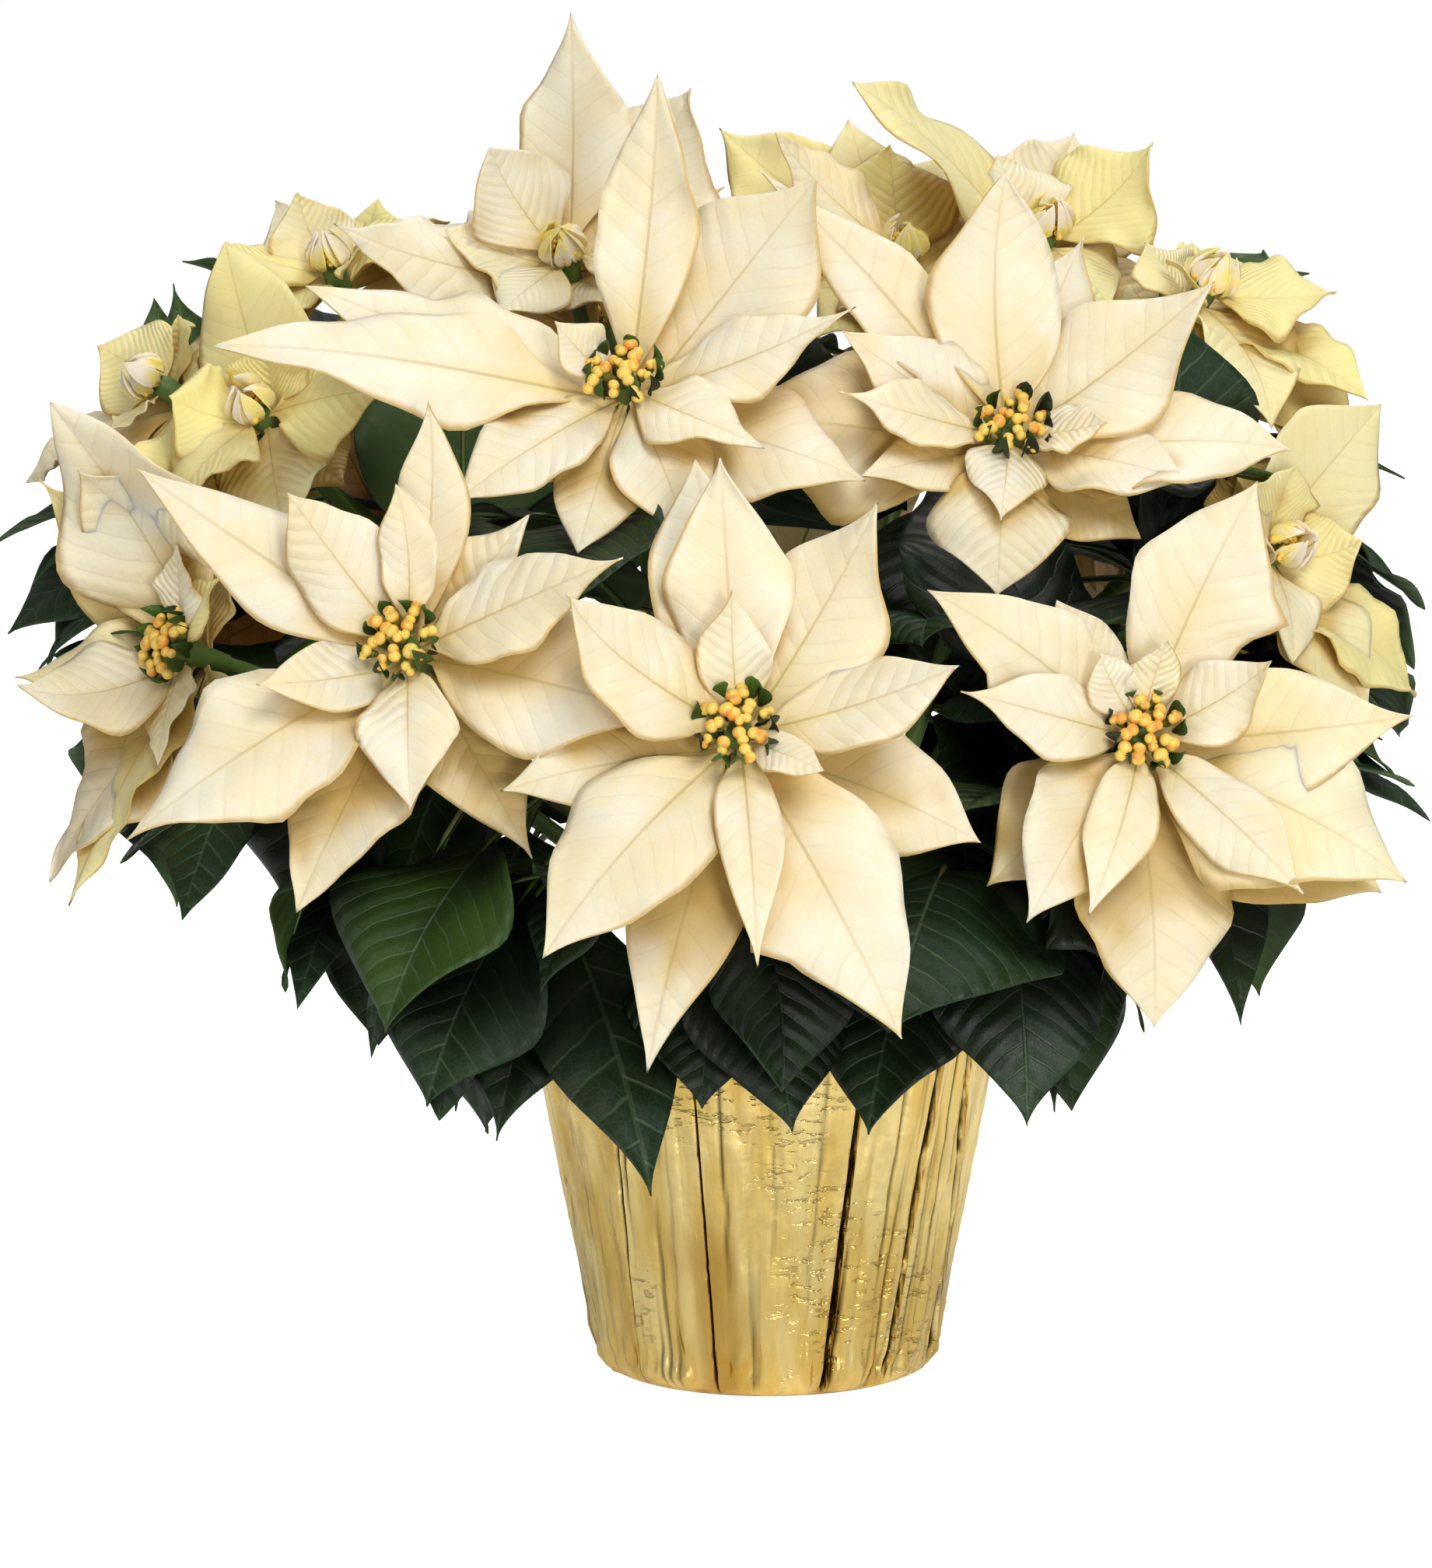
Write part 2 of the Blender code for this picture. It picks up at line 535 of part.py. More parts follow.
def bract_by_rule(bloom, order, count, chance):
    """A bract in the bloom's own spiral: small and raised at the centre, long and low outside."""
    share = order / (count - 1)
    angle = math.radians(GOLDEN_ANGLE * order + chance.uniform(-10, 10))
    right = unit(np.cross(UP, bloom.axis))
    upward = np.cross(bloom.axis, right)
    lift = math.radians(RULE_LIFT[0] + (RULE_LIFT[1] - RULE_LIFT[0]) * share)
    level = upward * math.cos(angle) - right * math.sin(angle)
    chord = level * math.cos(lift) + bloom.axis * math.sin(lift) - UP * 0.12
    length = RULE_LENGTH[0] + (RULE_LENGTH[1] - RULE_LENGTH[0]) * share**0.7
    length *= chance.uniform(0.9, 1.08)
    width = length * RULE_WIDTH_SHARE * chance.uniform(0.86, 1.1)
    tooth = chance.choice((0, 0, 0, 0, 0, 1, -1))
    return new_bract(bloom, order, count, unit(chord) * length, width, tooth, chance)


def new_bract(bloom, order, count, chord, width, tooth, chance):
    depth = BRACT_TOP_DEPTH + (BRACT_LOW_DEPTH - BRACT_TOP_DEPTH) * order / (count - 1)
    level = unit(chord - bloom.axis * np.dot(chord, bloom.axis))
    base = bloom.hub - bloom.axis * depth + level * BRACT_SEAT
    tip = bloom.hub - bloom.axis * depth * 0.4 + chord
    length = np.linalg.norm(chord)
    raised = max(0.0, float(np.dot(chord, bloom.axis)) / length - CUPPED_FROM)
    bow = chance.uniform(0.10, 0.30) - CUPPING * raised
    rows = TINY_BRACT_ROWS if length < TINY_BRACT else SMALL_BRACT_ROWS
    if bloom.name in BRACTS and length > SMALL_BRACT:
        rows = LONG_BRACT_ROWS if length > LONG_BRACT else BRACT_ROWS
    if tooth:
        rows = TOOTHED_BRACT_ROWS
    node = "bloom_" + bloom.name
    return Blade(node, base, tip, bloom.axis, width, BRACT_STALK, bow, rows, chance, tooth)


def leaf_between(bloom, share, tip, width, tooth, rows, chance):
    """A leaf that grows from a bloom's branch and ends at the given tip."""
    place = bloom.on_branch(share)
    chord = tip - place
    face = UP * 1.0 + unit(chord * np.array([1.0, 1.0, 0.001]))
    stalk = min(LEAF_STALK, 0.34 * float(np.linalg.norm(chord)))
    bow = chance.uniform(0.22, 0.42)
    rows = TOOTHED_LEAF_ROWS if tooth else rows
    node = "plant_" + bloom.plant
    return Blade(node, place, tip, face, width, stalk, bow, rows, chance, tooth)


def leaf_by_rule(bloom, order, share, chance):
    """A leaf that stands out from its branch and hangs, a golden angle on from the one below."""
    place = bloom.on_branch(share)
    ahead = unit(bloom.on_branch(share + 0.1) - place)
    outward = unit(place * np.array([1.0, 1.0, 0.0]) + np.array([1e-4, 0.0, 0.0]))
    round_by = (order - 1.5) * 62.0 + chance.uniform(-20, 20)
    heading = turned(outward, UP, round_by)
    drop = 0.75 - 0.9 * share + chance.uniform(-0.1, 0.1)
    length = chance.uniform(*RULE_LEAF_LENGTH)
    tip = place + unit(heading + 0.2 * ahead - UP * drop) * length
    width = length * RULE_LEAF_WIDTH_SHARE * chance.uniform(0.85, 1.15)
    tooth = chance.choice((0, 0, 0, 0, 1))
    return leaf_between(bloom, share, tip, width, tooth, PLAIN_LEAF_ROWS, chance)


def foil_radius(height):
    return FOIL_BASE_RADIUS + FOIL_SLOPE * height


def fixed_obstacles(blooms, arrangement):
    """Stems, flower clusters and the foil, which stay where they are."""
    for bloom in blooms:
        place, ahead = bloom.branch()
        radii = BRANCH_RADIUS + (BRANCH_TIP_RADIUS - BRANCH_RADIUS) * BRANCH_SHARES + CLEARANCE
        arrangement.fixed.append(ring_obstacle("plant_" + bloom.plant, place, ahead, radii))
        centres = [bloom.hub + bloom.axis * (ring[2] + 0.0008) for ring in CLUSTER_RINGS[:3]]
        radii = [ring[0] + CLEARANCE / 2 for ring in CLUSTER_RINGS[:3]]
        arrangement.fixed.append(
            ring_obstacle("flowers_" + bloom.name, centres, [bloom.axis] * 3, radii, 12)
        )
        hub = [bloom.hub - bloom.axis * HUB_LENGTH, bloom.hub]
        arrangement.fixed.append(
            ring_obstacle("bloom_" + bloom.name, hub, [bloom.axis] * 2, [HUB_RADIUS + CLEARANCE] * 2)
        )
    heights = np.array([0.0, 0.05, 0.10, FOIL_HEIGHT + 0.002])
    wall = [UP * h for h in heights]
    radii = foil_radius(heights) + 0.004
    arrangement.fixed.append(ring_obstacle("foil_wrap", wall, [UP] * 4, radii, 24))


def arranged(blooms):
    """Every blade of the plant in its final place: front bracts, then leaves, then the rest."""
    arrangement = Arrangement()
    fixed_obstacles(blooms, arrangement)
    by_name = {bloom.name: bloom for bloom in blooms}
    for bloom in blooms:
        chance = random.Random("bracts of " + bloom.name)
        rows = BRACTS.get(bloom.name)
        count = len(rows) if rows else RULE_COUNT
        for order in range(count):
            if rows:
                arrangement.place(bract_by_hand(bloom, order, count, rows[order], chance))
            else:
                arrangement.place(bract_by_rule(bloom, order, count, chance))
    chance = random.Random("leaves placed by hand")
    for name, share, tip, width, tooth in LEAVES:
        tip = np.array(tip) * MM
        rows = LEAF_ROWS if width * MM > NARROW_LEAF else PLAIN_LEAF_ROWS
        leaf = leaf_between(by_name[name], share, tip, width * MM, tooth, rows, chance)
        arrangement.place(leaf)
    for bloom in blooms:
        chance = random.Random("leaves of " + bloom.name)
        side = "back" if bloom.hub[1] > 0.09 else "side" if bloom.hub[1] > -0.06 else "front"
        for order, share in enumerate(RULE_LEAF_SHARES[side]):
            arrangement.place(leaf_by_rule(bloom, order, share, chance))
    return arrangement.blades


def material(name, colour, roughness, metallic=0.0):
    made = bpy.data.materials.new(name)
    made.use_nodes = True
    shader = made.node_tree.nodes["Principled BSDF"]
    shader.inputs["Base Color"].default_value = colour
    shader.inputs["Roughness"].default_value = roughness
    shader.inputs["Metallic"].default_value = metallic
    return made


def link(name, mesh, collection):
    made = bpy.data.objects.new(name, mesh)
    collection.objects.link(made)
    return made


def mesh_from(bm, name):
    mesh = bpy.data.meshes.new(name)
    bm.to_mesh(mesh)
    bm.free()
    return mesh


def blade_mesh(blade):
    """Two grids, one for each face, welded along the rim and closed at the base."""
    top, under = blade.shell()
    rows = len(top)
    bm = bmesh.new()
    bmesh.ops.create_grid(bm, x_segments=rows - 1, y_segments=2, size=1.0)
    ordered = sorted(bm.verts, key=lambda v: (round(v.co.x, 4), round(v.co.y, 4)))
    bmesh.ops.triangulate(bm, faces=bm.faces, quad_method="FIXED")
    copied = bmesh.ops.duplicate(bm, geom=bm.verts[:] + bm.edges[:] + bm.faces[:])
    bmesh.ops.reverse_faces(bm, faces=[f for f in copied["geom"] if isinstance(f, bmesh.types.BMFace)])
    twin = copied["vert_map"]
    for k, vertex in enumerate(ordered):
        row, column = divmod(k, 3)
        vertex.co = Vector(top[row, column])
        twin[vertex].co = Vector(under[row, column])
    bmesh.ops.remove_doubles(bm, verts=bm.verts[:], dist=1e-6)
    bmesh.ops.holes_fill(bm, edges=bm.edges[:], sides=0)
    bmesh.ops.triangulate(bm, faces=[f for f in bm.faces if len(f.verts) > 3])
    bmesh.ops.recalc_face_normals(bm, faces=bm.faces[:])
    return mesh_from(bm, "blade")


def united(body, name, pieces, collection):
    """The body and its pieces as one solid: a Boolean union on a collection, applied."""
    joined = bpy.data.collections.new("joined into " + name)
    for piece in pieces:
        joined.objects.link(piece)
    union = body.modifiers.new("union", "BOOLEAN")
    union.operation = "UNION"
    union.operand_type = "COLLECTION"
    union.collection = joined
    union.solver = "MANIFOLD"
    bpy.context.view_layer.update()
    graph = bpy.context.evaluated_depsgraph_get()
    mesh = bpy.data.meshes.new_from_object(body.evaluated_get(graph))
    mesh.transform(body.matrix_world)
    mesh.materials.clear()
    for piece in [*pieces, body]:
        bpy.data.objects.remove(piece)
    bpy.data.collections.remove(joined)
    return link(name, mesh, collection)


def along_axis(place, axis):
    """The matrix that stands an upright shape at a place, along an axis."""
    turn = Vector(axis).to_track_quat("Z", "Y").to_matrix().to_4x4()
    return Matrix.Translation(Vector(place)) @ turn


def cone(name, place, axis, radii, length, sides, collection):
    """A closed cone from its wide or narrow foot at the place, along the axis."""
    bm = bmesh.new()
    bmesh.ops.create_cone(
        bm, cap_ends=True, segments=sides, radius1=radii[0], radius2=radii[1], depth=length
    )
    bmesh.ops.translate(bm, verts=bm.verts, vec=(0.0, 0.0, length / 2))
    bmesh.ops.transform(bm, matrix=along_axis(place, axis), verts=bm.verts)
    return link(name, mesh_from(bm, name), collection)


def build_bloom(bloom, blades, collection, cream):
    """The hub with its bracts, one solid."""
    foot = bloom.hub - bloom.axis * HUB_LENGTH
    hub = cone("hub", foot, bloom.axis, (HUB_RADIUS * 0.8, HUB_RADIUS), HUB_LENGTH, HUB_SIDES, collection)
    bracts = [link("bract", blade_mesh(blade), collection) for blade in blades]
    made = united(hub, "bloom_" + bloom.name, bracts, collection)
    made.data.materials.append(cream)


def build_flowers(bloom, collection, yellow):
    """The small true flowers: a cap whose rings rise and fall into a ring of beads round one more."""
    columns = 2 * CLUSTER_BEADS
    bm = bmesh.new()
    rings = []
    for out_radius, in_radius, out_height, in_height in CLUSTER_RINGS:
        ring = []
        for k in range(columns):
            radius, height = (out_radius, out_height) if k % 2 == 0 else (in_radius, in_height)
            angle = 2 * math.pi * k / columns
            ring.append(bm.verts.new((radius * math.cos(angle), radius * math.sin(angle), height)))
        rings.append(ring)
    top = bm.verts.new((0.0, 0.0, CLUSTER_TOP))
    bm.faces.new(rings[0])
    for lower, upper in zip(rings, rings[1:]):
        for k in range(columns):
            after = (k + 1) % columns
            bm.faces.new((lower[k], lower[after], upper[after]))
            bm.faces.new((lower[k], upper[after], upper[k]))
    for k in range(columns):
        bm.faces.new((rings[-1][k], rings[-1][(k + 1) % columns], top))
    foot = bloom.hub + bloom.axis * SEAT_GAP
    bmesh.ops.recalc_face_normals(bm, faces=bm.faces[:])
    bmesh.ops.transform(bm, matrix=along_axis(foot, bloom.axis), verts=bm.verts)
    made = link("flowers_" + bloom.name, mesh_from(bm, "flowers"), collection)
    made.data.materials.append(yellow)


def stem(name, points, radii, collection):
    """A round stem through the points, as a closed mesh."""
    curve = bpy.data.curves.new(name, "CURVE")
    curve.dimensions = "3D"
    curve.bevel_depth = 1.0
    curve.bevel_resolution = 0
    curve.use_fill_caps = True
    spline = curve.splines.new("POLY")
    spline.points.add(len(points) - 1)
    for point, place, radius in zip(spline.points, points, radii):
        point.co = (*place, 1.0)
        point.radius = radius
    guide = link(name, curve, collection)
    bpy.context.view_layer.update()
    graph = bpy.context.evaluated_depsgraph_get()
    mesh = bpy.data.meshes.new_from_object(guide.evaluated_get(graph))
    bpy.data.objects.remove(guide)
    bm = bmesh.new()
    bm.from_mesh(mesh)
    bmesh.ops.remove_doubles(bm, verts=bm.verts, dist=1e-6)
    bmesh.ops.recalc_face_normals(bm, faces=bm.faces[:])
    return link(name, mesh_from(bm, name), collection)


def build_plant(plant, blooms, blades, collection, green):
    """One rooted plant: trunk, branches and leaves, one solid."""
    x, y = TRUNKS[plant]
    foot = SOIL_TOP - HOLE_DEPTH + SEAT_GAP
    top = FORK_HEIGHT + 3.6 * FORK_STEP
    heights = (foot, SOIL_TOP, top)
    trunk = stem("trunk", [(x, y, z) for z in heights], [TRUNK_RADIUS] * 3, collection)
    pieces = []
    for bloom in blooms:
        place, _ = bloom.branch()
        radii = BRANCH_RADIUS + (BRANCH_TIP_RADIUS - BRANCH_RADIUS) * BRANCH_SHARES
        pieces.append(stem("branch", place, radii, collection))
    pieces += [link("leaf", blade_mesh(blade), collection) for blade in blades]
    made = united(trunk, "plant_" + plant, pieces, collection)
    made.data.materials.append(green)


def turned_solid(name, profile, sides, collection):
    """A closed outline in the XZ plane, spun about Z."""
    bm = bmesh.new()
    rows = [bm.verts.new((x, 0.0, z)) for x, z in profile]
    for a, b in zip(rows, rows[1:]):
        bm.edges.new((a, b))
    made = link(name, mesh_from(bm, name), collection)
    screw = made.modifiers.new("spin", "SCREW")
    screw.steps = screw.render_steps = sides
    screw.use_merge_vertices = True
    screw.merge_threshold = 1e-5
    screw.use_smooth_shade = False
    return made


def build_pot(collection, brown):
    """The nursery pot: a thin tapered wall with a lip at its rim."""
    foot = FOIL_THICKNESS + SEAT_GAP
    rim = foot + POT_HEIGHT
    lip = rim - POT_LIP_HEIGHT
    wall_at_lip = POT_RADIUS_TOP - 0.002
    profile = (
        (0.0, foot + POT_WALL),
        (POT_RADIUS_BASE - POT_WALL, foot + POT_WALL),
        (POT_RADIUS_TOP - POT_WALL, rim),
        (POT_RADIUS_TOP + POT_LIP_WIDTH, rim),
        (POT_RADIUS_TOP + POT_LIP_WIDTH - 0.0006, lip),
        (wall_at_lip, lip),
        (POT_RADIUS_BASE, foot),
        (0.0, foot),
    )
    pot = turned_solid("nursery_pot", profile, POT_SIDES, collection)
    pot.data.materials.append(brown)


def build_soil(collection, brown, cutters):
    """Potting mix up to a low mound, with a plain hole for each trunk."""
    foot = FOIL_THICKNESS + SEAT_GAP + POT_WALL + SEAT_GAP
    pot_foot = FOIL_THICKNESS + SEAT_GAP
    slope = (POT_RADIUS_TOP - POT_RADIUS_BASE) / POT_HEIGHT
    side_gap = POT_WALL + 2.5 * SEAT_GAP
    edge = SOIL_TOP - SOIL_MOUND
    profile = (
        (0.0, SOIL_TOP),
        (0.045, SOIL_TOP - 0.001),
        (POT_RADIUS_BASE + slope * (edge - pot_foot) - side_gap, edge),
        (POT_RADIUS_BASE - side_gap, foot),
        (0.0, foot),
    )
    soil = turned_solid("potting_mix", profile, POT_SIDES, collection)
    soil.data.materials.append(brown)
    for plant, (x, y) in TRUNKS.items():
        foot = np.array([x, y, SOIL_TOP - HOLE_DEPTH])
        radius = TRUNK_RADIUS + 2 * SEAT_GAP
        hole = cone("hole_" + plant, foot, UP, (radius, radius), HOLE_DEPTH + 0.02, HOLE_SIDES, cutters)
        hole.hide_render = True
        hole.display_type = "WIRE"
        cut = soil.modifiers.new("hole " + plant, "BOOLEAN")
        cut.operation = "DIFFERENCE"
        cut.object = hole


def fold_angle(fold, height):
    """Where a fold is at a height, in radians round from the front."""
    at_rim, at_foot, _ = FOIL_FOLDS[fold % len(FOIL_FOLDS)]
    share = height / FOIL_HEIGHT
    return math.radians(at_foot + (at_rim - at_foot) * share) + 2 * math.pi * (fold // len(FOIL_FOLDS))


def build_foil(collection, gold):
    """The wrap: a flat foot, a rounded corner, and panels that each tuck under the next at a fold."""
    rings = (
        (0.0, FOIL_FOOT_RADIUS, 0.0),
        (FOIL_CORNER_HEIGHT, foil_radius(FOIL_CORNER_HEIGHT), 0.8),
        (FOIL_HEIGHT, foil_radius(FOIL_HEIGHT), 1.0),
    )
    columns = len(FOIL_FOLDS) * len(PANEL_COLUMNS)
    bm = bmesh.new()
    bmesh.ops.create_grid(bm, x_segments=columns, y_segments=len(rings) - 1, size=1.0)
    for vertex in bm.verts:
        column = round((vertex.co.x + 1) / 2 * columns) % columns
        height, radius, depth = rings[round((vertex.co.y + 1) / 2 * (len(rings) - 1))]
        fold, place = divmod(column, len(PANEL_COLUMNS))
        share = PANEL_COLUMNS[place]
        start, end = fold_angle(fold, height), fold_angle(fold + 1, height)
        angle = start + (end - start) * share
        tucked = FOIL_FOLDS[(fold + 1) % len(FOIL_FOLDS)][2] * MM if place == len(PANEL_COLUMNS) - 1 else 0.0
        radius += (PANEL_LIP * (1.0 - share) - tucked) * depth
        vertex.co = (radius * math.sin(angle), -radius * math.cos(angle), height)
    bmesh.ops.remove_doubles(bm, verts=bm.verts[:], dist=1e-6)
    foot_edges = [e for e in bm.edges if e.is_boundary and all(v.co.z < 1e-6 for v in e.verts)]
    bmesh.ops.edgeloop_fill(bm, edges=foot_edges)
    bmesh.ops.triangulate(bm, faces=[f for f in bm.faces if len(f.verts) == 4])
    bmesh.ops.recalc_face_normals(bm, faces=bm.faces[:])
    foil = link("foil_wrap", mesh_from(bm, "foil_wrap"), collection)
    wall = foil.modifiers.new("thickness", "SOLIDIFY")
    wall.thickness = FOIL_THICKNESS
    wall.offset = -1.0
    foil.data.materials.append(gold)


def main():
    for old in list(bpy.data.objects):
        bpy.data.objects.remove(old)
    collection = bpy.data.collections.new("potted poinsettia")
    cutters = bpy.data.collections.new("cutters")
    for each in (collection, cutters):
        bpy.context.scene.collection.children.link(each)
    cream = material("bract cream", CREAM, 0.55)
    green = material("leaf green", LEAF_GREEN, 0.45)
    yellow = material("flower yellow", FLOWER_YELLOW, 0.40)
    gold = material("foil gold", FOIL_GOLD, 0.28, 1.0)
    build_foil(collection, gold)
    build_pot(collection, material("pot brown", POT_BROWN, 0.55))
    build_soil(collection, material("potting mix brown", SOIL_BROWN, 0.95), cutters)
    blooms = [Bloom(index, *row) for index, row in enumerate(BLOOMS)]
    blades = arranged(blooms)
    for bloom in blooms:
        own = [blade for blade in blades if blade.node == "bloom_" + bloom.name]
        build_bloom(bloom, own, collection, cream)
        build_flowers(bloom, collection, yellow)
    for plant in TRUNKS:
        own_blooms = [bloom for bloom in blooms if bloom.plant == plant]
        own = [blade for blade in blades if blade.node == "plant_" + plant]
        build_plant(plant, own_blooms, own, collection, green)


main()
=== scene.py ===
# %% [markdown]
# # A potted white poinsettia
#
# Three rooted plants share one nursery pot, wrapped in pleated gold foil. What people call the flower is
# a ring of cream leaves, the bracts, round a cluster of tiny true flowers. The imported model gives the
# place of every plant, bloom and pot. This script keeps those places and makes what the eye looks for:
# thin waved bracts with their veins, dark leaves, beads of nectar, crinkled foil and loose potting mix.

import math
import random

import bmesh
import bpy
import numpy as np
from mathutils import Matrix, Vector, noise
from mathutils.bvhtree import BVHTree


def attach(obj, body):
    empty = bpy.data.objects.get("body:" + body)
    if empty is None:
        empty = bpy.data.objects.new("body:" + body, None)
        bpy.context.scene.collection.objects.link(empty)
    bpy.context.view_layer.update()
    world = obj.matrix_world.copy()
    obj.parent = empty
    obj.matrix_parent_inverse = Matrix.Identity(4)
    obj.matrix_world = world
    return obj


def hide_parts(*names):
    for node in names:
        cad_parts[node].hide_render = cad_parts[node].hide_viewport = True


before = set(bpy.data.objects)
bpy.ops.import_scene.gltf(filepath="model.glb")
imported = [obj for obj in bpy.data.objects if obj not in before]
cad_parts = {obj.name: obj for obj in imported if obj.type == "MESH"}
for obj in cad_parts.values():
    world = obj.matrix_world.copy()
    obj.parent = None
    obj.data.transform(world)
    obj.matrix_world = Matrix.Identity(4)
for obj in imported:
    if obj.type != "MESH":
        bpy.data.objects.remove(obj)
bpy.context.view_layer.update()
print("nodes in the packed model:", len(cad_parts))

# %% [markdown]
# ## The camera first
#
# The photograph looks slightly down on the plant from its front, from far enough away that the pot
# shows almost no perspective. A long lens at 1.8 m gives the same picture.

# %% Camera
CAMERA_PLACE = (-0.0185, -1.8, 0.4156)
CAMERA_DOWN = 6.28
CAMERA_LENS = 112.3
SENSOR = 36.0

bpy.ops.object.camera_add(location=CAMERA_PLACE, rotation=(math.radians(90 - CAMERA_DOWN), 0, 0))
camera = bpy.context.object
camera.data.lens = CAMERA_LENS
camera.data.sensor_width = SENSOR
bpy.context.scene.camera = camera
print("camera at", CAMERA_PLACE, "tilted down", CAMERA_DOWN, "degrees")

# %% [markdown]
# ## Shader maths as Python
#
# A material's pattern is a sum of small sums: a vein is where a distance falls under a width, a stain
# is noise times a mask. Wiring such nodes by hand hides the sums. This class wraps a node's output, so
# that plus, minus and times in Python add the nodes, and one method adds any other kind of node.

# %% A node's output in a sum
class Wire:
    """A node's output that can be used in a sum."""

    def __init__(self, finish, socket):
        self.finish = finish
        self.socket = socket

    def maths(self, operation, first, second=None):
        values = {0: first} if second is None else {0: first, 1: second}
        return self.finish.node("ShaderNodeMath", {"operation": operation}, values)

    def __add__(self, other):
        return self.maths("ADD", self, other)

    def __radd__(self, other):
        return self.maths("ADD", other, self)

    def __sub__(self, other):
        return self.maths("SUBTRACT", self, other)

    def __rsub__(self, other):
        return self.maths("SUBTRACT", other, self)

    def __mul__(self, other):
        return self.maths("MULTIPLY", self, other)

    def __rmul__(self, other):
        return self.maths("MULTIPLY", other, self)

    def __abs__(self):
        return self.maths("ABSOLUTE", self)

    def above(self, other):
        return self.maths("GREATER_THAN", self, other)

    def fraction(self):
        return self.maths("FRACT", self)


print("a node's output can now be added, taken away and multiplied")

# %% A finish and the patterns that it can ask for
class Finish:
    """One material: its Principled shader, and a method that adds any other node."""

    def __init__(self, name, **even):
        self.material = bpy.data.materials.new(name)
        self.material.use_nodes = True
        self.nodes = self.material.node_tree.nodes
        self.shader = self.nodes["Principled BSDF"]
        for socket, value in even.items():
            self.shader.inputs[socket.replace("_", " ")].default_value = value

    def feed(self, socket, value):
        if isinstance(value, Wire):
            self.material.node_tree.links.new(value.socket, socket)
        else:
            socket.default_value = value

    def node(self, kind, settings=None, values=None, output=0):
        made = self.nodes.new(kind)
        for name, value in (settings or {}).items():
            setattr(made, name, value)
        for name, value in (values or {}).items():
            self.feed(made.inputs[name], value)
        return Wire(self, made.outputs[output])

    def eased(self, value, low, high, start=0.0, end=1.0):
        """The value carried smoothly from one range to another, and held at both ends."""
        values = {"Value": value, "From Min": low, "From Max": high, "To Min": start, "To Max": end}
        return self.node("ShaderNodeMapRange", {"interpolation_type": "SMOOTHSTEP"}, values)

    def mixed(self, share, first, second):
        """A colour between two colours."""
        return self.node("ShaderNodeMix", {"data_type": "RGBA"}, {0: share, 6: first, 7: second}, 2)

    def parts(self, vector):
        """The three numbers that a vector holds."""
        split = self.nodes.new("ShaderNodeSeparateXYZ")
        self.feed(split.inputs[0], vector)
        return [Wire(self, socket) for socket in split.outputs]

    def place(self):
        return self.node("ShaderNodeTexCoord", output="Object")

    def stretched(self, vector, scale):
        values = {0: vector, 1: scale}
        return self.node("ShaderNodeVectorMath", {"operation": "MULTIPLY"}, values)

    def cloud(self, vector, scale, detail=3.0, roughness=0.5):
        values = {"Vector": vector, "Scale": scale, "Detail": detail, "Roughness": roughness}
        return self.node("ShaderNodeTexNoise", {}, values)

    def relief(self, height, strength, distance):
        """Small relief that only bends the light."""
        values = {"Strength": strength, "Distance": distance, "Height": height}
        return self.node("ShaderNodeBump", {}, values)

    def wear(self, **sockets):
        """Feeds the shader's sockets, and gives back the finished material."""
        for socket, value in sockets.items():
            self.feed(self.shader.inputs[socket.replace("_", " ")], value)
        return self.material


print("a finish can ask for clouds, relief, and colours mixed by them")

# %% [markdown]
# ## The sizes and places of the real thing
#
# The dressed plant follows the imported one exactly, so it is laid out by the same sizes and rules: the
# wrap and pot, the trunks, the hub of every bloom, and for the blooms in view the tip of every bract.

# %% Sizes of the wrap, the pot, the mix and the branches
MM = 0.001
UP = np.array([0.0, 0.0, 1.0])
SEAT_GAP = 0.0003

# Foil wrap: a pleated shell with a flat foot
FOIL_FOOT_RADIUS = 0.0575
FOIL_BASE_RADIUS = 0.0628
FOIL_SLOPE = 0.19
FOIL_HEIGHT = 0.142
FOIL_THICKNESS = 0.0008
FOIL_CORNER_HEIGHT = 0.006

# Each fold of the foil: degrees round from the front at the rim and at the foot, and its depth in mm
FOIL_FOLDS = (
    (-172, -170, 1.6), (-144, -148, 2.0), (-118, -114, 1.4), (-80, -76, 1.2), (-40, -45, 1.9),
    (-18, -16, 1.1), (25, 20, 1.8), (48, 44, 2.2), (58, 72, 2.4), (88, 92, 1.6), (124, 120, 2.0),
    (160, 164, 1.4),
)
PANEL_LIP = 0.0009

# Nursery pot of 164 mm, standing inside the foil
POT_RADIUS_TOP = 0.0795
POT_RADIUS_BASE = 0.0555
POT_HEIGHT = 0.127
POT_WALL = 0.0016
POT_LIP_WIDTH = 0.0022
POT_LIP_HEIGHT = 0.011

# Potting mix, with one plain hole for each plant
SOIL_TOP = 0.116
SOIL_MOUND = 0.004
HOLE_DEPTH = 0.040
TRUNK_RADIUS = 0.0048
FORK_HEIGHT = 0.150
FORK_STEP = 0.004
BRANCH_SHARES = np.array([0.0, 0.33, 0.67, 0.97, 1.0])
BRANCH_NECK = 0.007
BRANCH_RADIUS = 0.0036
BRANCH_TIP_RADIUS = 0.0029
TRUNKS = {"left": (-0.024, -0.014), "right": (0.024, -0.014), "back": (0.000, 0.028)}

print("folds of the foil:", len(FOIL_FOLDS), "and trunks:", len(TRUNKS))

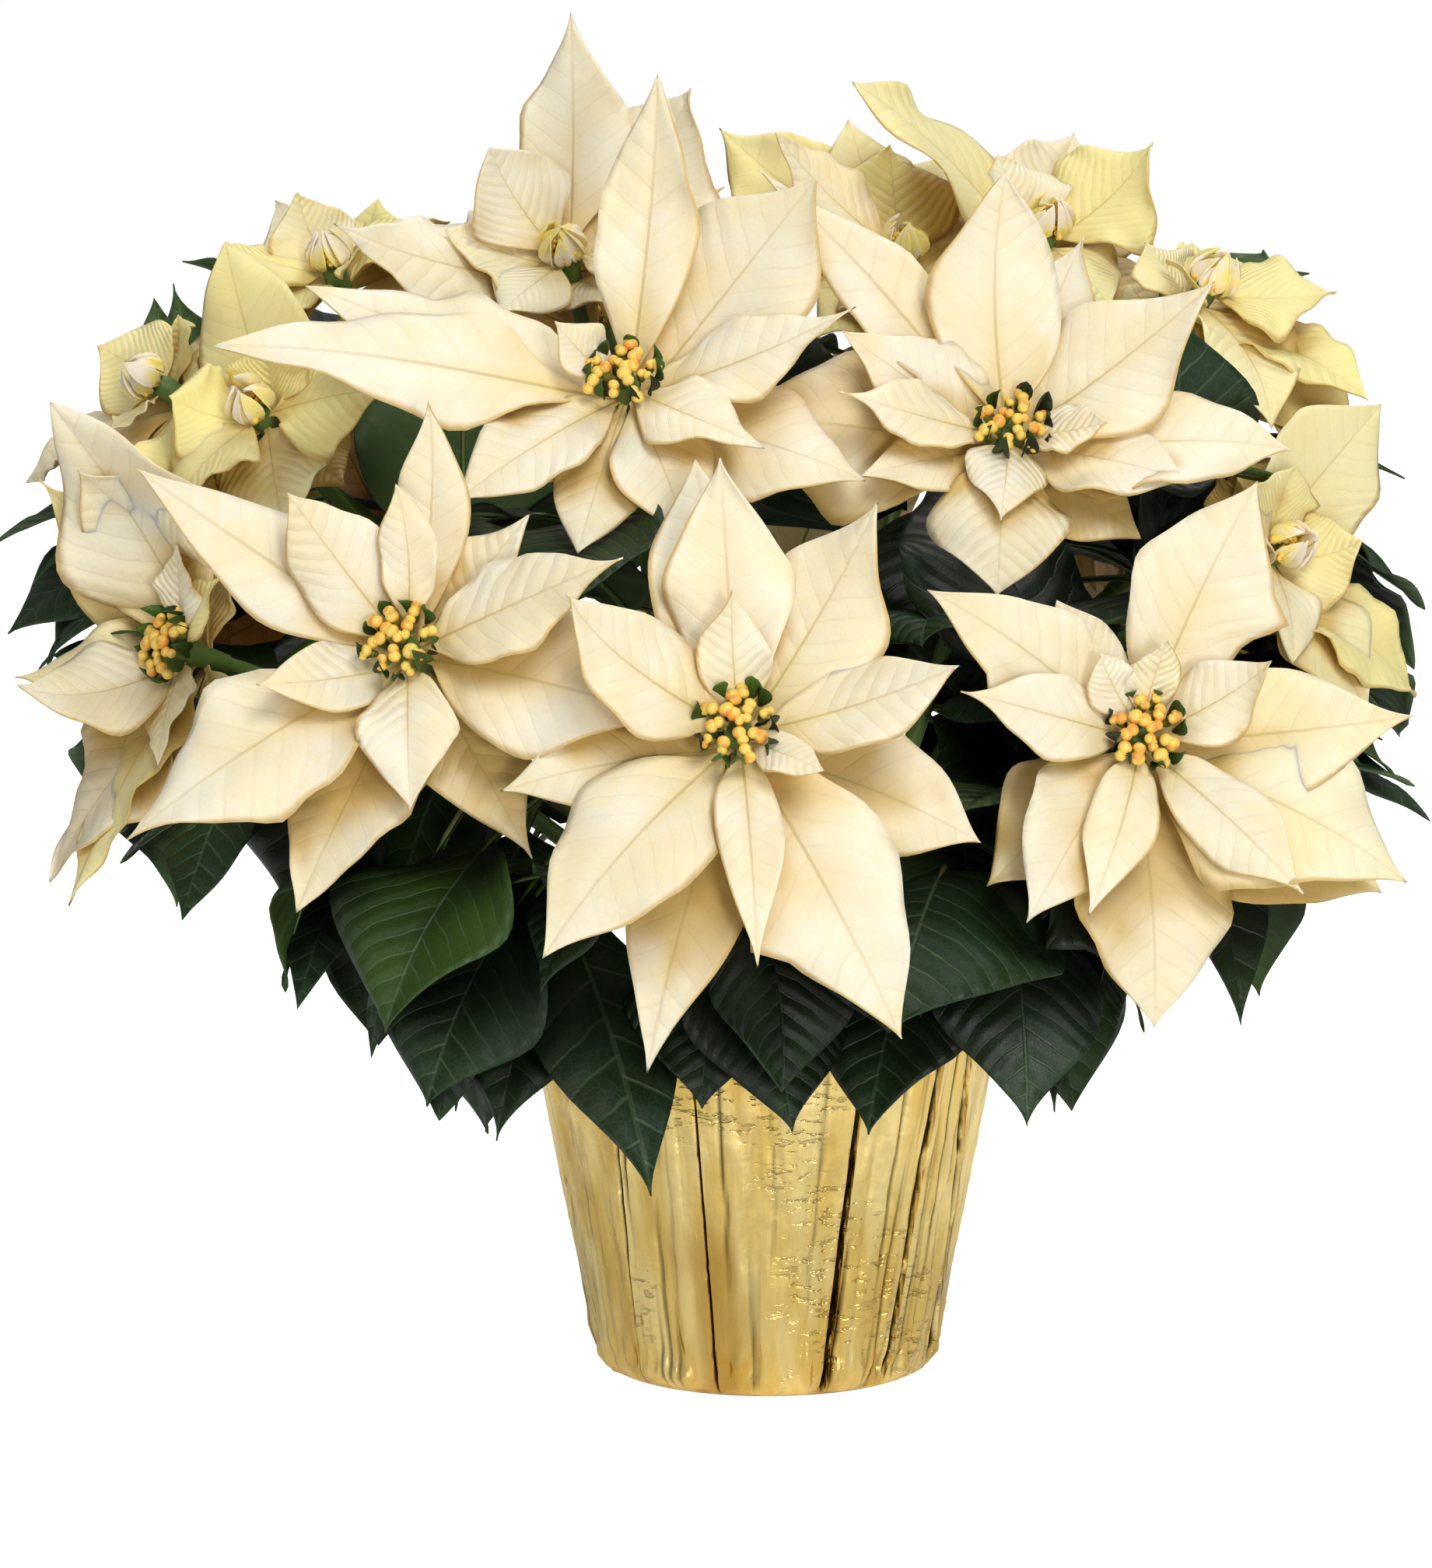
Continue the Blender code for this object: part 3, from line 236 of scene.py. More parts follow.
# %% Sizes of the hubs and blades
# Bloom: a short hub that carries the bracts, with the small true flowers on it
HUB_RADIUS = 0.0050
HUB_LENGTH = 0.022
BRACT_SEAT = -0.0030
BRACT_TOP_DEPTH = 0.0030
BRACT_LOW_DEPTH = 0.0185
CLUSTER_RINGS = (
    (0.0034, 0.0034, 0.0000, 0.0000),
    (0.0118, 0.0078, 0.0054, 0.0040),
    (0.0100, 0.0072, 0.0098, 0.0060),
    (0.0050, 0.0046, 0.0068, 0.0060),
)

# Blades
RIB_HALF_THICKNESS = 0.0008
ROOT_HALF_THICKNESS = 0.0011
STALK_HALF_WIDTH = 0.0015
FULLNESS = 1.08
BRACT_STALK = 0.008
CUPPED_FROM = 0.15
CUPPING = 1.1
LEAF_STALK = 0.036
TINY_BRACT_ROWS = (0.52,)
SMALL_BRACT_ROWS = (0.36, 0.70)
BRACT_ROWS = (0.24, 0.50, 0.78)
LONG_BRACT_ROWS = (0.20, 0.42, 0.66, 0.86)
TOOTHED_BRACT_ROWS = (0.22, 0.44, 0.58, 0.67, 0.85)
TINY_BRACT = 0.034
SMALL_BRACT = 0.060
LONG_BRACT = 0.098
LEAF_ROWS = (0.28, 0.55, 0.82)
PLAIN_LEAF_ROWS = (0.34, 0.70)
TOOTHED_LEAF_ROWS = (0.28, 0.56, 0.66, 0.86)
NARROW_LEAF = 0.062
TOOTH_PLACE = 0.56
TOOTH_REACH = 0.30
CLEARANCE = 0.0012
OWN_CLEARANCE = 0.0002

print("hub length in mm:", HUB_LENGTH / MM, "and stalk of a leaf:", LEAF_STALK / MM)

# %% [markdown]
# ## The blooms, their bracts and the leaves
#
# The blooms in view were read from the photo: where the middle of the flowers is, which way the bloom
# faces, and where each bract ends. A small program turned those places into millimetres, and how far
# each stands towards the front was judged from what covers what. Nine of the bracts and the last twelve
# leaves came from a search, which tried many places and kept those that close the most gaps. The blooms
# behind are of the same kind, with their bracts in the spiral they grow by.

# %% The blooms
# Each bloom: name, plant, hub in mm, facing (degrees round from the front, degrees up)
BLOOMS = (
    ("front", "left", (-11, -175, 255), (-3, 28)),
    ("front_left", "left", (-124, -150, 281), (-16, 25)),
    ("front_right", "right", (127, -140, 250), (12, 24)),
    ("upper_left", "left", (-50, -100, 369), (-5, 42)),
    ("upper_right", "right", (85, -85, 351), (8, 38)),
    ("far_left", "left", (-212, -50, 272), (-52, 18)),
    ("left_mid", "left", (-184, -30, 356), (-36, 38)),
    ("left_high", "back", (-228, 40, 364), (-72, 30)),
    ("left_crown", "back", (-162, 45, 408), (-35, 64)),
    ("crown_left", "back", (-74, 15, 412), (-12, 44)),
    ("crown_mid", "right", (52, 30, 413), (4, 52)),
    ("crown_right", "right", (106, 55, 421), (20, 52)),
    ("right_high", "right", (163, 20, 400), (48, 52)),
    ("right_low", "right", (184, -42, 307), (50, 24)),
    ("back_left", "back", (-148, 132, 300), (-138, 26)),
    ("back_mid", "back", (2, 178, 268), (178, 24)),
    ("back_right", "right", (150, 128, 290), (136, 26)),
    ("back_crown_left", "back", (-62, 112, 384), (-160, 52)),
    ("back_crown_right", "back", (74, 118, 380), (152, 50)),
)

print("blooms:", len(BLOOMS))

# %% Bracts that show in the photo
# Bracts of the blooms that show in the photo, the centre's first. Each has its tip from the middle of
# the flowers in mm to the right, up and towards the front, then its width in mm and its toothed edge
BRACTS = {
    "front": (
        (-52, 49, 38, 39, 0), (-7, 45, 20, 24, 0), (72, 25, 30, 30, 0), (28, -10, 25, 15, 0),
        (6, -74, 36, 22, 0), (43, 78, 16, 45, 0), (-65, -71, 32, 50, 0), (54, -99, 24, 52, 1),
        (4, 93, 0, 40, 0), (-31, -113, 8, 40, 0), (-80, -15, 4, 36, 0), (83, -30, 4, 46, 0),
        (-15, 94, -24, 44, 0),
    ),
    "front_left": (
        (-5, 53, 20, 20, 0), (3, -52, 30, 32, 0), (-39, 53, 8, 34, 0), (74, 33, 32, 36, 0),
        (-86, 64, 22, 34, 0), (5, 84, 10, 26, 0), (92, -22, 26, 50, 0), (-93, -61, 28, 52, 0),
        (36, 49, 4, 34, 0), (-38, -87, 16, 46, 0), (-56, -9, 16, 28, 0), (41, -70, 2, 38, 0),
    ),
    "front_right": (
        (-7, 26, 22, 18, 0), (8, 29, 22, 18, 0), (-20, -57, 34, 24, 0), (-63, 18, 28, 30, 0),
        (42, 28, 22, 28, 0), (53, -50, 30, 30, 0), (-40, -60, 28, 42, 0), (39, 88, 4, 48, 1),
        (89, 15, 22, 48, 0), (-73, 52, 12, 36, -1), (-26, 48, 6, 30, 0), (5, -97, 16, 54, 0),
        (91, -43, 4, 46, 0), (-51, -48, 10, 42, 0), (93, -44, 3, 55, 0),
    ),
    "upper_left": (
        (-19, 24, 12, 22, 0), (48, -21, 30, 30, 0), (22, -52, 32, 36, 0), (-16, -56, 32, 32, 0),
        (-58, -38, 32, 34, 0), (76, 33, 18, 32, 0), (11, 109, -8, 35, 0), (-142, 16, 16, 46, 0),
        (-55, -27, 14, 38, 0), (83, -30, 8, 48, 0), (-111, 44, -10, 44, 1),
    ),
    "upper_right": (
        (-5, -29, 26, 28, 0), (33, 5, 18, 24, 0), (-61, 16, 26, 28, 0), (-6, -54, 28, 46, 0),
        (-2, 92, -2, 46, 0), (67, 57, 14, 46, 0), (-53, 43, 12, 40, 0), (61, -14, 16, 40, 0),
        (-53, -12, 18, 28, 0), (-88, 95, -26, 32, 0), (47, -31, 8, 40, 0), (28, 72, -28, 42, 0),
        (-95, 24, 24, 58, 0), (99, -5, -24, 49, 0),
    ),
    "far_left": (
        (-3, 38, 10, 24, 0), (19, 29, 14, 22, 0), (-6, -39, 28, 28, 0), (-41, 62, 4, 54, 0),
        (-58, -15, 18, 42, 0), (-48, -86, 18, 46, 0), (18, -34, 14, 26, 0), (-35, 39, -18, 30, 0),
        (10, 31, -18, 26, 0), (-32, -50, -8, 34, 0), (-65, -13, -20, 40, 0),
    ),
    "left_mid": (
        (49, 9, 22, 46, 0), (-30, -33, 22, 44, 0), (11, -39, 30, 44, 0), (-28, 14, 14, 44, 0),
        (-61, -22, 6, 50, 0), (0, 28, 0, 38, 0), (31, 22, -6, 36, 0), (-21, 28, -14, 34, 0),
        (-11, -47, 6, 40, 0), (29, -22, 14, 34, 0), (-23, 60, -33, 45, 0),
    ),
    "left_high": (
        (-28, 5, 4, 42, 0), (-19, -16, 10, 30, 0), (-28, 16, -14, 40, 0), (-3, 29, -20, 30, 0),
        (28, 28, 0, 34, 0), (7, 42, -34, 34, 0), (-15, -28, -14, 32, 0), (23, -7, 16, 34, 0),
        (4, -20, 22, 34, 0), (-52, -45, -38, 48, 0),
    ),
    "left_crown": (
        (-4, 13, 16, 24, 0), (10, 11, 14, 24, 0), (-40, 11, 6, 34, 0), (-13, 33, 0, 36, 0),
        (-27, -14, 22, 34, 0), (40, 24, -10, 42, 0), (-43, -14, 6, 34, 0), (38, -5, 10, 34, 0),
        (9, 38, -36, 38, 0), (-27, 31, -40, 36, 0), (5, -24, 26, 36, 0),
    ),
    "crown_left": (
        (9, 19, 20, 30, 0), (-24, -20, 24, 30, 0), (-28, 41, 6, 42, 0), (39, 68, 2, 58, 1),
        (1, 92, -22, 40, 0), (-45, 12, 4, 40, 0), (58, 28, -12, 38, 0), (44, -1, -4, 34, 0),
        (-38, 20, -30, 34, 0), (-16, 40, -54, 38, 0), (28, 38, -60, 36, 0), (21, -19, 18, 32, 0),
        (-85, 24, 25, 46, 0), (99, -8, -8, 60, 0),
    ),
    "crown_mid": (
        (6, 11, 18, 26, 0), (-7, 11, 16, 24, 0), (-55, 34, 20, 38, 0), (-4, 48, -24, 50, 0),
        (29, 32, -14, 40, 0), (-64, 60, -18, 58, 0), (-1, -30, 34, 46, 0), (35, -1, 20, 38, 0),
        (-34, -27, 24, 38, 0), (-30, 58, -44, 46, 0), (21, 56, -52, 44, 0),
    ),
    "crown_right": (
        (4, 10, 14, 24, 0), (-7, 10, 14, 22, 0), (23, -27, 26, 38, 0), (41, 36, -4, 56, 0),
        (-17, 32, -10, 44, 0), (49, -20, 14, 38, 0), (-6, -25, 28, 42, 0), (16, 46, -44, 46, 0),
        (-22, 14, -48, 38, 0), (39, 4, -44, 40, 0),
    ),
    "right_high": (
        (-6, 11, 16, 26, 0), (49, 0, 2, 58, 0), (63, -72, 10, 62, 0), (11, -61, 38, 46, 0),
        (-17, -43, 30, 36, 0), (30, -53, 34, 50, 0), (-20, 21, -8, 44, 0), (24, 21, -36, 44, 0),
        (66, -30, -20, 52, 0), (-29, -14, 4, 36, 0), (77, -46, -42, 56, 0),
    ),
    "right_low": (
        (-8, 15, 20, 26, 0), (12, 30, 4, 40, 0), (-15, -27, 26, 30, 0), (1, -40, 28, 32, 0),
        (-25, 8, 12, 28, 0), (44, -53, 14, 50, 0), (34, -4, 0, 40, 0), (30, 17, -30, 38, 0),
        (20, 39, -38, 38, 0), (45, -29, -28, 38, 0), (-12, 32, -10, 36, 0), (59, -53, -22, 50, 0),
    ),
}

print("bracts with a row of their own:", sum(len(rows) for rows in BRACTS.values()))

# %% Bracts by rule, and the leaves
# A bloom with no rows above has its bracts by rule, in a spiral from the centre out
RULE_COUNT = 10
RULE_LENGTH = (0.058, 0.104)
RULE_WIDTH_SHARE = 0.47
RULE_LIFT = (34.0, 2.0)
GOLDEN_ANGLE = 137.5

# Leaves with a row of their own: branch, share of the branch, tip in mm, width in mm, toothed edge
LEAVES = (
    ("far_left", 0.42, (-41, -130, 88), 54, 0), ("front_left", 0.52, (-132, -142, 147), 68, 0),
    ("front_left", 0.42, (-119, -122, 118), 70, 0), ("front", 0.60, (4, -144, 127), 46, 0),
    ("front", 0.45, (8, -132, 111), 62, 0), ("front_right", 0.36, (32, -130, 116), 54, 0),
    ("front_right", 0.52, (89, -132, 113), 58, 0), ("right_low", 0.42, (100, -110, 114), 50, 0),
    ("right_low", 0.66, (166, -100, 143), 42, 0), ("front_right", 0.30, (53, -112, 142), 56, 0),
    ("far_left", 0.86, (-206, -98, 180), 38, 1), ("far_left", 0.62, (-166, -96, 148), 34, 0),
    ("front_left", 0.66, (-147, -112, 138), 30, 0), ("left_high", 0.80, (-267, -12, 261), 46, 1),
    ("left_high", 0.86, (-272, 12, 291), 30, 0), ("right_low", 0.74, (226, -48, 226), 44, 1),
    ("right_high", 0.66, (224, 0, 285), 40, 0), ("right_high", 0.78, (239, 30, 329), 32, 0),
    ("right_low", 0.55, (190, -84, 282), 38, 0), ("left_crown", 0.86, (-240, 64, 380), 54, 0),
    ("upper_left", 0.74, (-150, -62, 312), 56, 0), ("crown_mid", 0.86, (-36, -58, 391), 34, 0),
    ("upper_right", 0.62, (53, -104, 277), 54, 0), ("front_right", 0.62, (67, -134, 223), 46, 0),
    ("upper_left", 0.48, (-84, -94, 307), 52, 0), ("upper_right", 0.48, (20, -80, 313), 52, 0),
    ("front", 0.70, (-78, -150, 163), 46, 0), ("far_left", 0.30, (-84, -104, 108), 58, 0),
    ("front", 0.34, (-24, -124, 122), 56, 0), ("crown_left", 0.80, (10, 62, 380), 58, 0),
    ("crown_mid", 0.74, (-12, 22, 350), 56, 0), ("back_crown_right", 0.78, (6, 62, 338), 56, 0),
    ("back_mid", 0.34, (-8, 138, 112), 62, 0), ("back_mid", 0.44, (44, 146, 128), 60, 1),
    ("back_right", 0.34, (92, 118, 114), 62, 0), ("back_left", 0.34, (-90, 122, 112), 62, 0),
    ("back_left", 0.46, (-142, 78, 132), 60, 0), ("back_right", 0.46, (146, 66, 130), 60, 1),
    ("left_high", 0.34, (-138, 14, 128), 58, 0), ("right_high", 0.34, (140, -10, 126), 58, 0),
    ("back_mid", 0.56, (-48, 160, 150), 58, 0),
    ("crown_right", 0.72, (71, -41, 252), 70, 0), ("left_mid", 0.5, (-141, -46, 127), 72, 0),
    ("left_mid", 0.8, (-172, -68, 179), 76, 0), ("front_right", 0.75, (183, -6, 139), 70, 0),
    ("left_crown", 0.43, (-71, -70, 320), 74, 0), ("far_left", 0.36, (-102, -32, 92), 67, 0),
    ("left_high", 0.86, (-270, 54, 262), 61, 0), ("front_right", 0.49, (119, -24, 119), 56, 0),
    ("far_left", 0.87, (-256, 14, 187), 66, 0), ("right_low", 0.77, (194, 30, 150), 74, 0),
    ("crown_mid", 0.53, (10, -36, 408), 76, 0), ("far_left", 0.97, (-253, 32, 202), 56, 0),
)

# The other leaves are placed by rule at these shares of each branch
RULE_LEAF_SHARES = {"back": (0.54, 0.78), "side": (0.44, 0.70), "front": ()}
RULE_LEAF_LENGTH = (0.112, 0.146)
RULE_LEAF_WIDTH_SHARE = 0.56

print("leaves with a row of their own:", len(LEAVES))

# %% Bends and tints
# Bends tried on a blade that would cross another: lift and turn in degrees, then a shorter blade.
# Past a slight bend, a bract may touch the others of its own bloom, but never another node
LIFTS = (0, 5, -5, 10, -10, 15, -15, 21, -21, 28)
TURNS = (0, 6, -6, 12, -12)
SHARES = (1.0, 0.88, 0.76, 0.62, 0.48)
SLIGHT = 4.5

# How far the bracts of a bloom have gone from cream (0) towards yellow (1); in left_mid the yellow is
# partly painted shade
BLOOM_TINTS = {
    "front": 0.35, "front_left": 0.28, "front_right": 0.45, "upper_left": 0.15, "upper_right": 0.30,
    "far_left": 0.70, "left_mid": 0.95, "left_high": 0.80, "left_crown": 0.80, "crown_left": 0.45,
    "crown_mid": 0.80, "crown_right": 0.80, "right_high": 0.92, "right_low": 0.75,
}
print("blooms with a tint of their own:", len(BLOOM_TINTS))

# %% [markdown]
# ## Laying out the blades
#
# Each blade is a surface: a curve from base to tip, bowed towards its face, with a width, a fold along
# the rib and a wave. A mesh could be drawn for each by hand, but a rule with a few numbers keeps some
# hundred blades alike and each a little different.

# %% Turns and curves
def unit(vector):
    return vector / np.linalg.norm(vector)


def turned(vector, axis, degrees):
    """The vector turned about a unit axis."""
    angle = math.radians(degrees)
    along = axis * np.dot(axis, vector)
    return along + (vector - along) * math.cos(angle) + np.cross(axis, vector) * math.sin(angle)


def bezier(points, share):
    """Places on a cubic curve, and its unit tangents there."""
    a, b, c, d = points
    t = np.asarray(share)[:, None]
    s = 1.0 - t
    place = a * s**3 + 3 * b * s * s * t + 3 * c * s * t * t + d * t**3
    slope = 3 * ((b - a) * s * s + 2 * (c - b) * s * t + (d - c) * t * t)
    return place, slope / np.linalg.norm(slope, axis=1)[:, None]


print("east turned a quarter about up:", turned(np.array([1.0, 0.0, 0.0]), UP, 90).round(3))

# %% A blade
CURVE_HANDLE = 0.36
TOOTH_RISE = 0.13
TOOTH_FALL = 0.075
facing_front = np.array([0.0, -1.0, 0.0])


class Blade:
    """A leaf or bract: its base, tip and upper face, and the form between them."""

    def __init__(self, node, base, tip, face, width, stalk, bow, rows, chance, tooth=0):
        self.node = node
        self.rows = rows
        self.base = base
        self.tip = tip
        self.face = face
        self.width = FULLNESS * width
        self.stalk = stalk
        self.bow = bow
        self.tooth = tooth
        self.widest = chance.uniform(0.38, 0.52)
        self.fold = chance.uniform(0.10, 0.34)
        self.arch = chance.uniform(0.10, 0.30)
        self.wave = chance.uniform(0.07, 0.18) * width
        self.phase = chance.uniform(0.0, 2 * math.pi)
        self.twist = chance.uniform(-14.0, 14.0)
        self.taper = chance.uniform(2.3, 3.0)
        self.sweep = chance.uniform(-0.09, 0.09)
        self.droop = chance.uniform(1.0, 2.0)

    def bent(self, lift, turn, share):
        """A copy with its tip raised, turned sideways and drawn in."""
        chord = self.tip - self.base
        face = unit(self.face - unit(chord) * np.dot(self.face, unit(chord)))
        side = np.cross(unit(chord), face)
        chord = turned(turned(chord, side, lift), face, turn) * share
        copy = Blade.__new__(Blade)
        copy.__dict__.update(self.__dict__)
        copy.tip = self.base + chord
        copy.face = turned(face, side, lift)
        copy.width = self.width * (0.5 + 0.5 * share)
        return copy

    def stalk_share(self):
        return self.stalk / float(np.linalg.norm(self.tip - self.base))

    def half_width(self, share):
        """Half the width at each share of the length: a thin stalk, then an oval with a drawn-out tip."""
        start = self.stalk_share()
        t = np.clip((share - start) / (1.0 - start), 0.0, 1.0)
        rise, fall = self.taper * self.widest, self.taper * (1.0 - self.widest)
        oval = t**rise * (1.0 - t) ** fall / (self.widest**rise * (1.0 - self.widest) ** fall)
        thin = STALK_HALF_WIDTH * np.clip((1.0 - share) * 4.0, 0.0, 1.0)
        return np.maximum(thin, oval * self.width / 2)

    def tooth_reach(self, share, side):
        """How far the pointed lobe on one edge stands out, as a share of the half width there."""
        if side != self.tooth:
            return np.zeros_like(share)
        start = self.stalk_share()
        t = (share - start) / (1.0 - start) - TOOTH_PLACE
        rise = np.clip(1.0 + t / TOOTH_RISE, 0.0, 1.0) * (t <= 0)
        fall = np.clip(1.0 - t / TOOTH_FALL, 0.0, 1.0) * (t > 0)
        return TOOTH_REACH * (rise + fall)

    def surface(self, along, across):
        """Points of the middle surface, its unit normals, and how far each is from rib (0) to edge (1)."""
        chord = self.tip - self.base
        length = float(np.linalg.norm(chord))
        forward = chord / length
        face = unit(self.face - forward * np.dot(self.face, forward))
        across_rib = np.cross(forward, face)
        start = unit(forward + self.bow * face) + self.sweep * across_rib
        end = unit(forward - self.bow * self.droop * face) - self.sweep * across_rib
        handle = length * CURVE_HANDLE
        curve = (self.base, self.base + start * handle, self.tip - end * handle, self.tip)
        along = np.asarray(along, float)
        place, ahead = bezier(curve, along)
        side = np.tile(across_rib, (len(along), 1))
        normal = np.cross(side, ahead)
        angle = np.radians(self.twist) * (along - self.stalk_share())[:, None] * 1.4
        side, normal = (
            side * np.cos(angle) + normal * np.sin(angle),
            normal * np.cos(angle) - side * np.sin(angle),
        )
        half = self.half_width(along)
        points = []
        for v in across:
            reach = 1.0 + self.tooth_reach(along, int(np.sign(v))) * abs(v) ** 2
            out = half * v * reach * math.cos(self.fold)
            raised = half * abs(v) * (math.sin(self.fold) - self.arch * abs(v))
            open_part = np.clip((along - self.stalk_share()) * 4.0, 0.0, 1.0) * (1.0 - along) ** 0.5
            ripple = self.wave * open_part * v * v * np.sin(2 * math.pi * 1.7 * along + self.phase + 2.0 * v)
            points.append(place + side * out[:, None] + normal * (raised + ripple)[:, None])
        return np.stack(points, axis=1), normal

    def stations(self):
        """The shares of the length where the solid has its rows of points."""
        if self.node.startswith("plant"):
            start = self.stalk_share()
            return np.array([0.0, start, *(start + (1.0 - start) * t for t in self.rows), 1.0])
        return np.array([0.0, *self.rows, 1.0])

    def shell(self, spare=0.0):
        """The solid's two faces as grids of points, equal along their rims. A bract starts at a point."""
        along = self.stations()
        middle, normal = self.surface(along, (-1.0, 0.0, 1.0))
        thick = np.full(len(along), RIB_HALF_THICKNESS + spare)
        thick[1] = ROOT_HALF_THICKNESS + spare
        thick[-1] = 0.0
        if not self.node.startswith("plant"):
            middle[0] = self.base
            thick[0] = 0.0
        rib = np.array([0.0, 1.0, 0.0])[None, :, None]
        offset = normal[:, None, :] * thick[:, None, None] * rib
        return middle + offset, middle - offset


example = Blade(
    "bloom_front", np.zeros(3), UP * 0.08, facing_front, 0.035, BRACT_STALK, 0.2, BRACT_ROWS, random.Random(1)
)
print("a bract of 80 mm, half as wide in mm:", (example.half_width(example.stations()) / MM).round(1))

# %% [markdown]
# ## Keeping the blades apart
#
# Blades are placed one at a time. One that would cross a neighbour tries small bends until it is clear,
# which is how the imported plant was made, so both agree. Whether two shapes cross is asked of a tree of
# their faces, and only where the balls that hold them touch.

# %% Shapes to keep clear of
def grid_faces(rows, columns):
    """Triangles of a grid of points, the same way up on both faces of a blade."""
    faces = []
    for i in range(rows - 1):
        for j in range(columns - 1):
            a, b = i * columns + j, i * columns + j + 1
            c, d = a + columns, b + columns
            faces += [(a, b, d), (a, d, c)]
    return faces


class Obstacle:
    """A shape that blades keep clear of, with the ball that holds it."""

    def __init__(self, node, points, faces):
        self.node = node
        self.tree = BVHTree.FromPolygons([tuple(p) for p in points], faces)
        self.centre = points.mean(axis=0)
        self.radius = float(np.linalg.norm(points - self.centre, axis=1).max())

    def near(self, other):
        return np.linalg.norm(self.centre - other.centre) < self.radius + other.radius

    def crosses(self, other):
        return self.near(other) and bool(self.tree.overlap(other.tree))


def blade_obstacle(blade, spare, first_row=0):
    top, under = blade.shell(spare)
    top, under = top[first_row:], under[first_row:]
    rows = len(top)
    faces = grid_faces(rows, 3)
    points = np.concatenate([top.reshape(-1, 3), under.reshape(-1, 3)])
    return Obstacle(blade.node, points, faces + [tuple(i + 3 * rows for i in f) for f in faces])


def ring_obstacle(node, centres, axes, radii, sides=6):
    """A tube through rings of points with both ends shut, such as a stem or a flower cluster."""
    points = []
    for centre, axis, radius in zip(centres, axes, radii):
        first = unit(np.cross(axis, UP + 0.1 * np.array([1.0, 0.3, 0.0])))
        second = np.cross(axis, first)
        for k in range(sides):
            angle = 2 * math.pi * k / sides
            points.append(centre + radius * (first * math.cos(angle) + second * math.sin(angle)))
    faces = []
    for i in range(len(centres) - 1):
        for k in range(sides):
            a, b = i * sides + k, i * sides + (k + 1) % sides
            faces.append((a, b, b + sides, a + sides))
    faces += [tuple(range(sides)), tuple(range(len(points) - sides, len(points)))]
    return Obstacle(node, np.array(points), faces)


print("faces on a grid of 3 by 3 points:", len(grid_faces(3, 3)))

# %% Bends, the slightest first
def bend_size(bend):
    """How far a bend takes a blade from its place, on one scale."""
    lift, turn, share = bend
    return abs(lift) / 5 + abs(turn) / 4 + (1 - share) * 34


def bends():
    """Every bend to try, the slightest first."""
    tries = [(lift, turn, share) for share in SHARES for lift in LIFTS for turn in TURNS]
    return sorted(tries, key=lambda bend: (bend_size(bend), bend))


BENDS = bends()
SLIGHT_BENDS = [bend for bend in BENDS if bend_size(bend) < SLIGHT]


print("bends to try:", len(BENDS), "and slight ones:", len(SLIGHT_BENDS))

# %% Blades placed so far
class Arrangement:
    """Blades placed so far, with everything that a new one has to miss."""

    def __init__(self):
        self.blades = []
        self.whole = []
        self.outer = []
        self.fixed = []

    def clear(self, blade, own_node_too):
        whole = blade_obstacle(blade, CLEARANCE)
        if any(o.node != blade.node and o.crosses(whole) for o in self.fixed + self.whole):
            return None
        outer = blade_obstacle(blade, OWN_CLEARANCE, 1)
        if own_node_too and any(o.node == blade.node and o.crosses(outer) for o in self.outer):
            return None
        return whole, outer

    def place(self, blade):
        """Adds the blade with the least bend that clears the others, or leaves it out."""
        for own_node_too, tries in ((True, SLIGHT_BENDS), (False, BENDS)):
            for bend in tries:
                bent = blade.bent(*bend)
                shapes = self.clear(bent, own_node_too)
                if shapes:
                    self.blades.append(bent)
                    self.whole.append(shapes[0])
                    self.outer.append(shapes[1])
                    return


print("an arrangement starts with", len(Arrangement().blades), "blades")

# %% [markdown]
# ## Blooms on their branches
#
# A branch leaves its trunk at the fork, swings out and up, and comes straight into the underside of its
# bloom. Bracts stand round the hub, the small ones on top, and leaves grow along the branch.

# %% A bloom and its branch
BRANCH_HANDLE = 0.34


def facing(azimuth, elevation):
    a, e = math.radians(azimuth), math.radians(elevation)
    return np.array([math.sin(a) * math.cos(e), -math.cos(a) * math.cos(e), math.sin(e)])


class Bloom:
    """One flower head: where its hub is, which way it faces, and the branch that carries it."""

    def __init__(self, index, name, plant, hub, turned_to):
        self.index = index
        self.name = name
        self.plant = plant
        self.hub = np.array(hub) * MM
        self.axis = facing(*turned_to)

    def bend(self):
        """The four points of the branch's curve, from the fork to the foot of its straight neck."""
        x, y = TRUNKS[self.plant]
        fork = np.array([x, y, FORK_HEIGHT + FORK_STEP * (self.index % 4)])
        neck = self.hub - self.axis * (HUB_LENGTH + SEAT_GAP + BRANCH_NECK)
        reach = float(np.linalg.norm(neck - fork))
        outward = unit((neck - fork) * np.array([1.0, 1.0, 0.0]) + UP * reach * 0.9)
        handle = reach * BRANCH_HANDLE
        return fork, fork + outward * handle, neck - self.axis * handle, neck

    def branch(self):
        """Points and directions along the branch, from the fork to the underside of the hub."""
        end = self.hub - self.axis * (HUB_LENGTH + SEAT_GAP)
        points, ahead = bezier(self.bend(), BRANCH_SHARES[:-1] / BRANCH_SHARES[-2])
        return np.vstack([points, end]), np.vstack([ahead, self.axis])

    def on_branch(self, share):
        """The place at a share of the branch, on the straight stretch between two of its points."""
        points, _ = self.branch()
        return np.array([np.interp(share, BRANCH_SHARES, points[:, k]) for k in range(3)])


print("a bloom that faces the front looks along", facing(0, 0).round(3))

